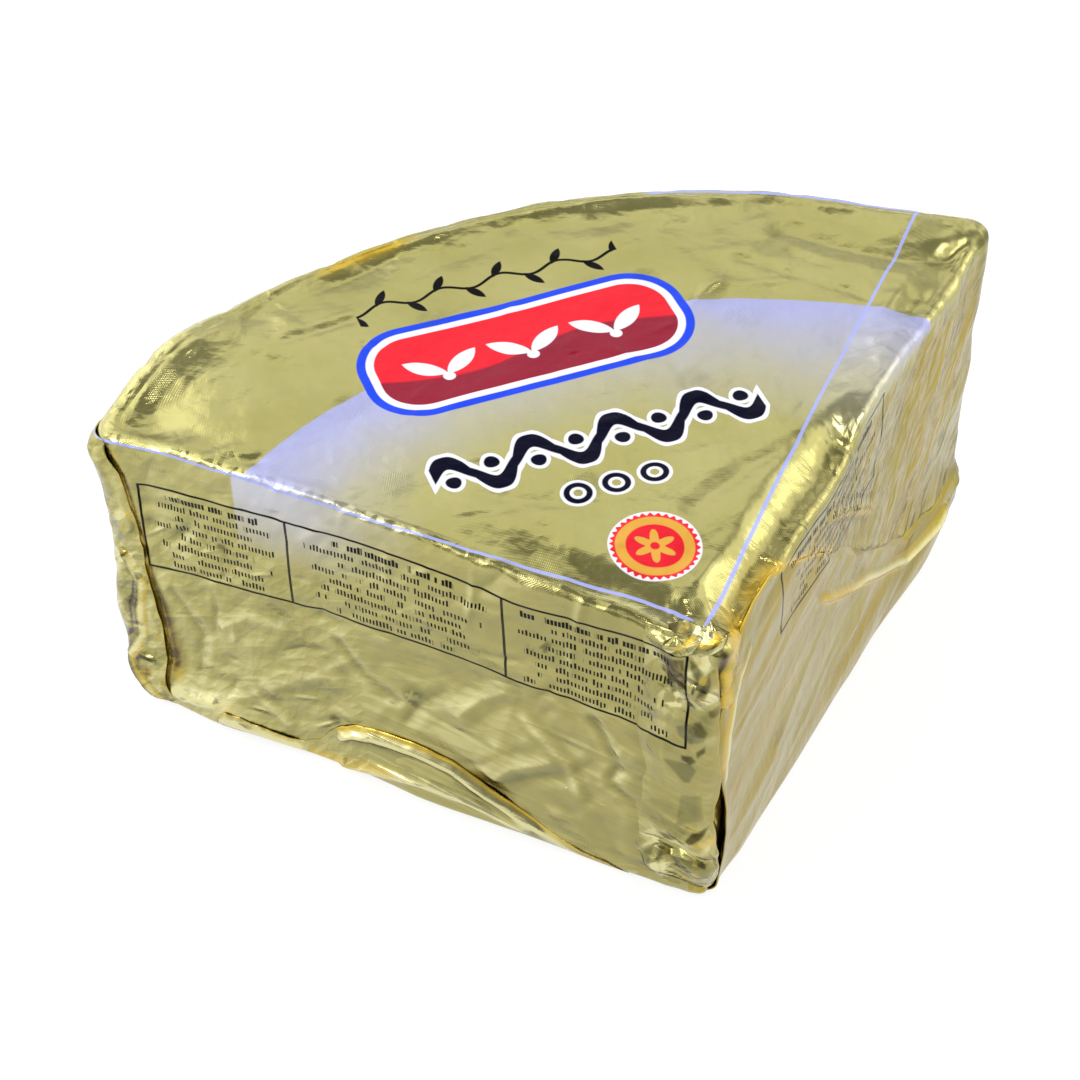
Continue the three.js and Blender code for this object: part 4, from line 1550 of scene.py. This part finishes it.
class CHEESE_OT_end_flap(bpy.types.Operator):
    """Folds the end flap of the rind's foil round the left corner onto the left face"""

    bl_idname = "cheese.end_flap"
    bl_label = "End flap"

    def execute(self, context):
        wedge = Wedge(context.scene.wedge_sizes)
        rng = wedge.draw("end_flap")
        z = np.linspace(0.5, 80.2, 150)
        flat = wedge.radius - 1.1
        edge = flat - follow(z, END_EDGE) + 0.25 * wander(z, 3.5, rng)
        share = np.linspace(0, 1, 80)[None, :]
        round_ = edge[:, None] * (1 - share) - 17.0 * share
        level = np.broadcast_to(z[:, None], round_.shape)
        plan = wedge.girth(wedge.corner_column("left"), round_, z, 8.0)
        along = flat - round_
        free = edge[:, None] - round_
        second, _ = chain_distance(along, level, END_ROLL)
        folds = 1.1 * crest(second, 1.8, 1.0)
        folds += crumple(along, level, rng, ((7, 0.6), (4, 0.35), (2.6, 0.16)), 1.5, 80)
        folds *= 0.25 + 0.75 * ease(free, 0, 2.5)
        corner = bell(round_ + 1.0, 5.0)
        lift = 0.1 + 0.5 * bell(free - 2.6, 1.8) - 1.6 * ease(free, 10, 27) + folds + 0.8 * corner
        lift = np.maximum(lift, -1.6) + 1.7 * corner * ease(level, 60, 76)
        lift = lift * ease(level, 0, 3) * (1 - 0.5 * ease(level, 76, 80.2)) + 0.15
        lift -= 0.5 * ease(level, 78, 80.2)
        lift += wedge.foot_swell(-1, along, level) * ease(level, 0, 1.6)
        lift += 1.6 * corner * bell(level - 25, 9)
        places = lifted(plan, level, lift)
        left = np.stack([along, wedge.height - 2.5 - level], axis=-1)
        # Painted gold reflections on the roll, at the free edge and in spots low and high on the
        # flap.
        spots = ease(soft_noise(along, level, 1.6, rng), 0.4, 0.6)
        spots *= bell(level - 12, 12) + bell(level - 62, 6)
        deep = strongest(
            0.8 * bell(second - 1.2, 0.4), 0.5 * bell(free, 0.25), 0.8 * np.clip(spots, 0, 1)
        )
        # Painted light and shade: from the folds' slopes, highlights on two crinkled bands, shade
        # along the roll and in the low spots.
        crinkled = ease(soft_noise(along, level, 2.6, rng), 0.1, 0.3)
        facing = -0.1 - painted_shading(folds, round_, level, 3.2)
        facing += 0.6 * crinkled * (bell(level - 43, 4) + bell(level - 28, 4))
        facing -= 0.9 * bell(second - 1.6, 0.5) * fade(level, 40, 48)
        facing -= 1.2 * spots * bell(level - 10, 9)
        values = {"deep": deep, "painted_shading": facing, "crush": 0 * deep + 1.0}
        foil_flap(context, "end_flap", places, values, left=left)
        return {"FINISHED"}


class CHEESE_OT_point_lap(bpy.types.Operator):
    """Laps the left face's foil round the point"""

    bl_idname = "cheese.point_lap"
    bl_label = "Point lap"

    def execute(self, context):
        wedge = Wedge(context.scene.wedge_sizes)
        rng = wedge.draw("point_lap")
        z = np.linspace(0.4, 81.6, 160)
        edge = follow(z, LAP_EDGE) + 0.3 * wander(z, 4, rng)
        share = np.linspace(0, 1, 84)[None, :]
        round_ = -22.0 * (1 - share) + edge[:, None] * share
        level = np.broadcast_to(z[:, None], round_.shape)
        plan = wedge.girth(wedge.corner_column("point"), round_, z, wedge.foot_point)
        along = 0.83 - round_
        free = edge[:, None] - round_
        head, foot = spot(along - 6, level - 69, 13), spot(along - 8, level - 14, 12)
        either = np.maximum(head, foot)
        folds = head * crumple(along, level, rng, ((7, 2.0), (3.6, 0.9)), 1.6, 100)
        folds += foot * crumple(along, level, rng, ((6, 1.6), (3.4, 0.7)), 1.4, 20)
        folds += crumple(along, level, rng, ((9, 0.7), (4.5, 0.25)), 1.4, 50)
        # A rounded lobe at the foot, with short strokes across it.
        lobe = 10.5 - np.hypot(0.9 * (along - 5.5), level - 4.5)
        folds += 0.5 * ease(lobe, -0.2, 1.2) - 0.8 * bell(lobe + 1.2, 1.2)
        stroke = np.clip(np.sin((level * 0.94 - along * 0.34) * 2.2), 0, 1)
        folds += 0.35 * ease(lobe, 1, 3) * stroke * span(along, 3, 5, 9, 12)
        folds *= fade(along, 13, 21) * (0.4 + 0.6 * ease(free, 0, 3))
        lift = 0.55 - 2.0 * ease(along, 11, 22) + folds
        lift = np.maximum(lift, -1.5) * ease(level, 0, 4) + 0.2 - 1.2 * fade(level, 3, 13)
        lift -= (0.8 + lift) * ease(level, 79, 81.6)
        places = lifted(plan, level, lift)
        heads = wedge.top_height(*wedge.on_face(-1, np.clip(along, 4, 30), 0.0))
        left = np.stack([along, heads - level], axis=-1)
        # Painted gold reflections at the free edge, in a spot low on the point and in flecks, and
        # painted light and shade on the listed facets and from the folds' slopes.
        spots = ease(soft_noise(along, level, 1.6, rng), 0.6, 0.7) * fade(along, 6, 12)
        gold = spot((along - 0.8) / 2.2, (level - 22) / 1.1, 1.0)
        values = {
            "deep": strongest(0.5 * bell(free, 0.3), gold, 0.7 * spots * either),
            "painted_shading": painted_point_light(along, level) - 0.6 * painted_shading(folds, round_, level, 3.0),
            "crush": 0.45 + 0.9 * either,
        }
        foil_flap(context, "point_lap", places, values, left=left)
        return {"FINISHED"}


class CHEESE_OT_lip(bpy.types.Operator):
    """Hangs the folded lip of the top's foil over the head of the point"""

    bl_idname = "cheese.lip"
    bl_label = "Lip"

    def execute(self, context):
        wedge = Wedge(context.scene.wedge_sizes)
        rng = wedge.draw("point_lip")
        round_, upper, lower = np.array(LIP_EDGE, float).T
        across = np.linspace(round_[0], round_[-1], 120)[None, :]
        upper, lower = np.interp(across, round_, upper), np.interp(across, round_, lower)
        share = np.linspace(0, 1, 36)[:, None]
        level = lower + (upper - lower) * share
        level = level + 0.2 * soft_noise(across, 9 * share, 1.7, rng) * (1 - share)
        across = np.broadcast_to(across, level.shape)
        column = wedge.corner_column("point")
        plan = wedge.girth(column, across, level[:, 60], wedge.foot_point)
        folds = crumple(across, level, rng, ((4.5, 1.3), (2.4, 0.7), (1.4, 0.2)), 1.7, 25)
        taper = span(across, round_[0], round_[0] + 4, round_[-1] - 2.5, round_[-1])
        lift = 0.3 + taper * (2.0 * (1 - share) ** 1.5 + 0.8 * np.sin(share * math.pi) + folds)
        lift -= 3.0 * ease(share, 0.45, 1.0)
        places = lifted(plan, level, lift)
        # Painted gold reflection inside the lip, and painted light and shade: a highlight along its
        # lower edge, shade from the folds' slopes and at its end over the left face.
        inner = soft_noise(across, 9 * share, 2.6, rng) + 0.7 * np.sin(share * math.pi)
        inner = ease(inner, 0.35, 0.8) * taper * span(share, 0.2, 0.4, 0.85, 1.0)
        facing = 0.6 * bell(share, 0.12) - painted_shading(folds, across, level, 3.0)
        values = {
            "deep": 0.95 * inner * ease(across, -11, -7),
            "painted_shading": facing - 0.5 * fade(across, -12, -6),
            "crush": 0 * level + 1.3,
        }
        foil_flap(context, "point_lip", places, values)
        return {"FINISHED"}


class CHEESE_OT_foot_hem(bpy.types.Operator):
    """Turns the hem of the underside's foil up onto the foot of the left face"""

    bl_idname = "cheese.foot_hem"
    bl_label = "Foot hem"

    def execute(self, context):
        wedge = Wedge(context.scene.wedge_sizes)
        rng = wedge.draw("foot_hem")
        along = np.linspace(19.5, 123.5, 260)[None, :]
        edge = follow(along, HEM_EDGE) + 0.25 * wander(along, 3, rng)
        share = np.linspace(0, 1, 40)[:, None]
        level = 0.4 + (edge - 0.4) * share
        along = np.broadcast_to(along, level.shape)
        low, _ = chain_distance(along, level, LOW_ROLL)
        under = edge - level
        full = ease(edge, 1, 6) * (1 - 0.9 * span(along, 90, 93, 100, 104))
        end = ease(along, 96, 102)
        folds = 1.7 * bell(under - 2.6, 1.7) * ease(edge, 4, 12)
        folds = full * (folds + (1.2 - 0.6 * end) * crest(low, 2.4, 1.0))
        folds += crumple(along, level, rng, ((7, 0.3), (4, 0.14)), 2.2, 10) * full
        lift = (0.1 + folds) * ease(level, 0, 3) * ease(edge, 0, 4) + 0.1
        places = wedge.skin(-1, along, level, lift)
        left = np.stack([along, wedge.height - level], axis=-1)
        # Painted highlights on the hem's upper roll and its low roll, painted shade below the upper
        # roll, and painted gold reflections along the edge and by the low roll.
        facing = 1.1 * bell(under - 2.4, 1.2) + 1.1 * bell(low, 1.3) - 0.5 * bell(under - 5.2, 1.0)
        golden = span(along, 74, 80, 98, 101) * bell(low - 0.6, 1.4)
        values = {
            "deep": strongest((0.9 - 0.4 * end) * bell(under - 0.4, 0.6) * full, 0.6 * golden),
            "painted_shading": facing * full * (1 - 0.5 * golden),
            "crush": 0 * under + 0.7,
        }
        values = {
            key: np.broadcast_to(numbers, level.shape)[:, ::-1] for key, numbers in values.items()
        }
        foil_flap(context, "foot_hem", places[:, ::-1], values, left=left[:, ::-1])
        return {"FINISHED"}


# The room's light by the sine of the height, from the zenith down, as (from, to, rise): a
# bright panel under the dim ceiling, a plain wall, its dark lower half and a bright skirting.
ROOM_CEILING = 0.33
ROOM_LEVELS = ((0.90, 0.82, 0.95), (0.80, 0.68, -0.16), (0.46, 0.34, -0.42), (0.22, 0.10, 0.45))
# Its bright panels at the left and the right, by how far a place lies to the right.
ROOM_PANELS = ((-0.24, -0.40, 0.7), (0.20, 0.32, -0.35), (0.46, 0.60, 0.75))
# The lamps: (name, place in metres, width of the square in metres, radiance), and what they
# aim at.
LAMPS = (
    ("key", (-0.85, 0.10, 0.75), 0.36, 7.0),
    ("top", (0.25, -0.35, 1.15), 0.30, 9.0),
    ("side", (0.95, 0.0, 0.5), 0.4, 1.6),
)
LAMPS_AIM = (0, 0, 0.05)


class CHEESE_OT_stage(bpy.types.Operator):
    """Sets the floor, the lights and the camera"""

    bl_idname = "cheese.stage"
    bl_label = "Stage"

    def execute(self, context):
        look = context.scene.stage_look
        self.floor(look)
        self.lights(look)
        self.camera(look)
        return {"FINISHED"}

    def floor(self, look):
        half = 4.0
        mesh = bpy.data.meshes.new("floor")
        corners = [(-half, -half, 0), (half, -half, 0), (half, half, 0), (-half, half, 0)]
        mesh.from_pydata(corners, [], [(0, 1, 2, 3)])
        floor = bpy.data.objects.new("floor", mesh)
        bpy.context.scene.collection.objects.link(floor)
        material = bpy.data.materials.new("floor")
        graph = Graph(material)
        shader = graph.node(
            "ShaderNodeBsdfPrincipled", None, {
                "Base Color": opaque(look.floor), "Roughness": 0.7,
                "Emission Color": (1, 1, 1, 1), "Emission Strength": look.floor_glow,
            }
        )
        graph.node("ShaderNodeOutputMaterial", None, {0: shader.outputs[0]})
        mesh.materials.append(material)

    def lights(self, look):
        """A white room with a dim ceiling and a dim side behind the camera, and three lamps."""
        scene = bpy.context.scene
        world = bpy.data.worlds.new("studio")
        scene.world = world
        graph = Graph(world)
        heading = graph.node("ShaderNodeTexCoord").outputs["Generated"]
        x, y, z = graph.split(heading, 1.0)
        away = x * -math.sin(look.azimuth) + y * math.cos(look.azimuth)
        side = x * math.cos(look.azimuth) + y * math.sin(look.azimuth)
        level = z.steps(*ROOM_LEVELS) + ROOM_CEILING
        panels = side.steps(*ROOM_PANELS) * z.ramp(0.95, 0.85) + 1.0
        level = level * panels * (1 - (-away).ramp(0.25, 0.7) * 0.7)
        room = graph.node("ShaderNodeBackground", None, {"Color": (1, 1, 1, 1), "Strength": level})
        graph.node("ShaderNodeOutputWorld", None, {0: room.outputs[0]})
        for name, place, size, radiance in LAMPS:
            data = bpy.data.lights.new(name, "AREA")
            data.shape = "SQUARE"
            data.size = size
            data.energy = radiance * math.pi * size**2
            lamp = bpy.data.objects.new(name, data)
            scene.collection.objects.link(lamp)
            lamp.location = place
            aim = Vector(LAMPS_AIM) - Vector(place)
            lamp.rotation_euler = aim.to_track_quat("-Z", "Y").to_euler()
        scene.view_settings.view_transform = "Standard"

    def camera(self, look):
        a, e = look.azimuth, look.elevation
        back = Vector((math.sin(a) * math.cos(e), -math.cos(a) * math.cos(e), math.sin(e)))
        data = bpy.data.cameras.new("camera")
        data.lens, data.sensor_width = look.lens, look.sensor
        camera = bpy.data.objects.new("camera", data)
        bpy.context.scene.collection.objects.link(camera)
        turn = (-back).to_track_quat("-Z", "Y").to_matrix() @ Matrix.Rotation(look.roll, 3, "Z")
        camera.rotation_euler = turn.to_euler()
        camera.location = Vector(look.aim) + back * look.distance
        bpy.context.scene.camera = camera


class CHEESE_PT_panel(bpy.types.Panel):
    """Lists the pieces of the pack"""

    bl_label = "Foil-Wrapped Cheese Wedge"
    bl_idname = "CHEESE_PT_panel"
    bl_space_type = "VIEW_3D"
    bl_region_type = "UI"
    bl_category = "Cheese"

    def draw(self, context):
        for operator in OPERATORS:
            self.layout.operator(operator.bl_idname)


OPERATORS = (
    CHEESE_OT_wrap, CHEESE_OT_face_flap, CHEESE_OT_end_flap, CHEESE_OT_point_lap,
    CHEESE_OT_lip, CHEESE_OT_foot_hem, CHEESE_OT_stage,
)
GROUPS = {"wedge_sizes": WedgeSizes, "foil_look": FoilLook, "stage_look": StageLook}


def register():
    for cls in (*GROUPS.values(), *OPERATORS, CHEESE_PT_panel):
        bpy.utils.register_class(cls)
    for name, group in GROUPS.items():
        setattr(bpy.types.Scene, name, PointerProperty(type=group))


def unregister():
    for name in GROUPS:
        delattr(bpy.types.Scene, name)
    for cls in reversed((*GROUPS.values(), *OPERATORS, CHEESE_PT_panel)):
        bpy.utils.unregister_class(cls)


def main():
    register()
    for operator in OPERATORS:
        group, name = operator.bl_idname.split(".")
        getattr(getattr(bpy.ops, group), name)()


if __name__ == "__main__":
    main()
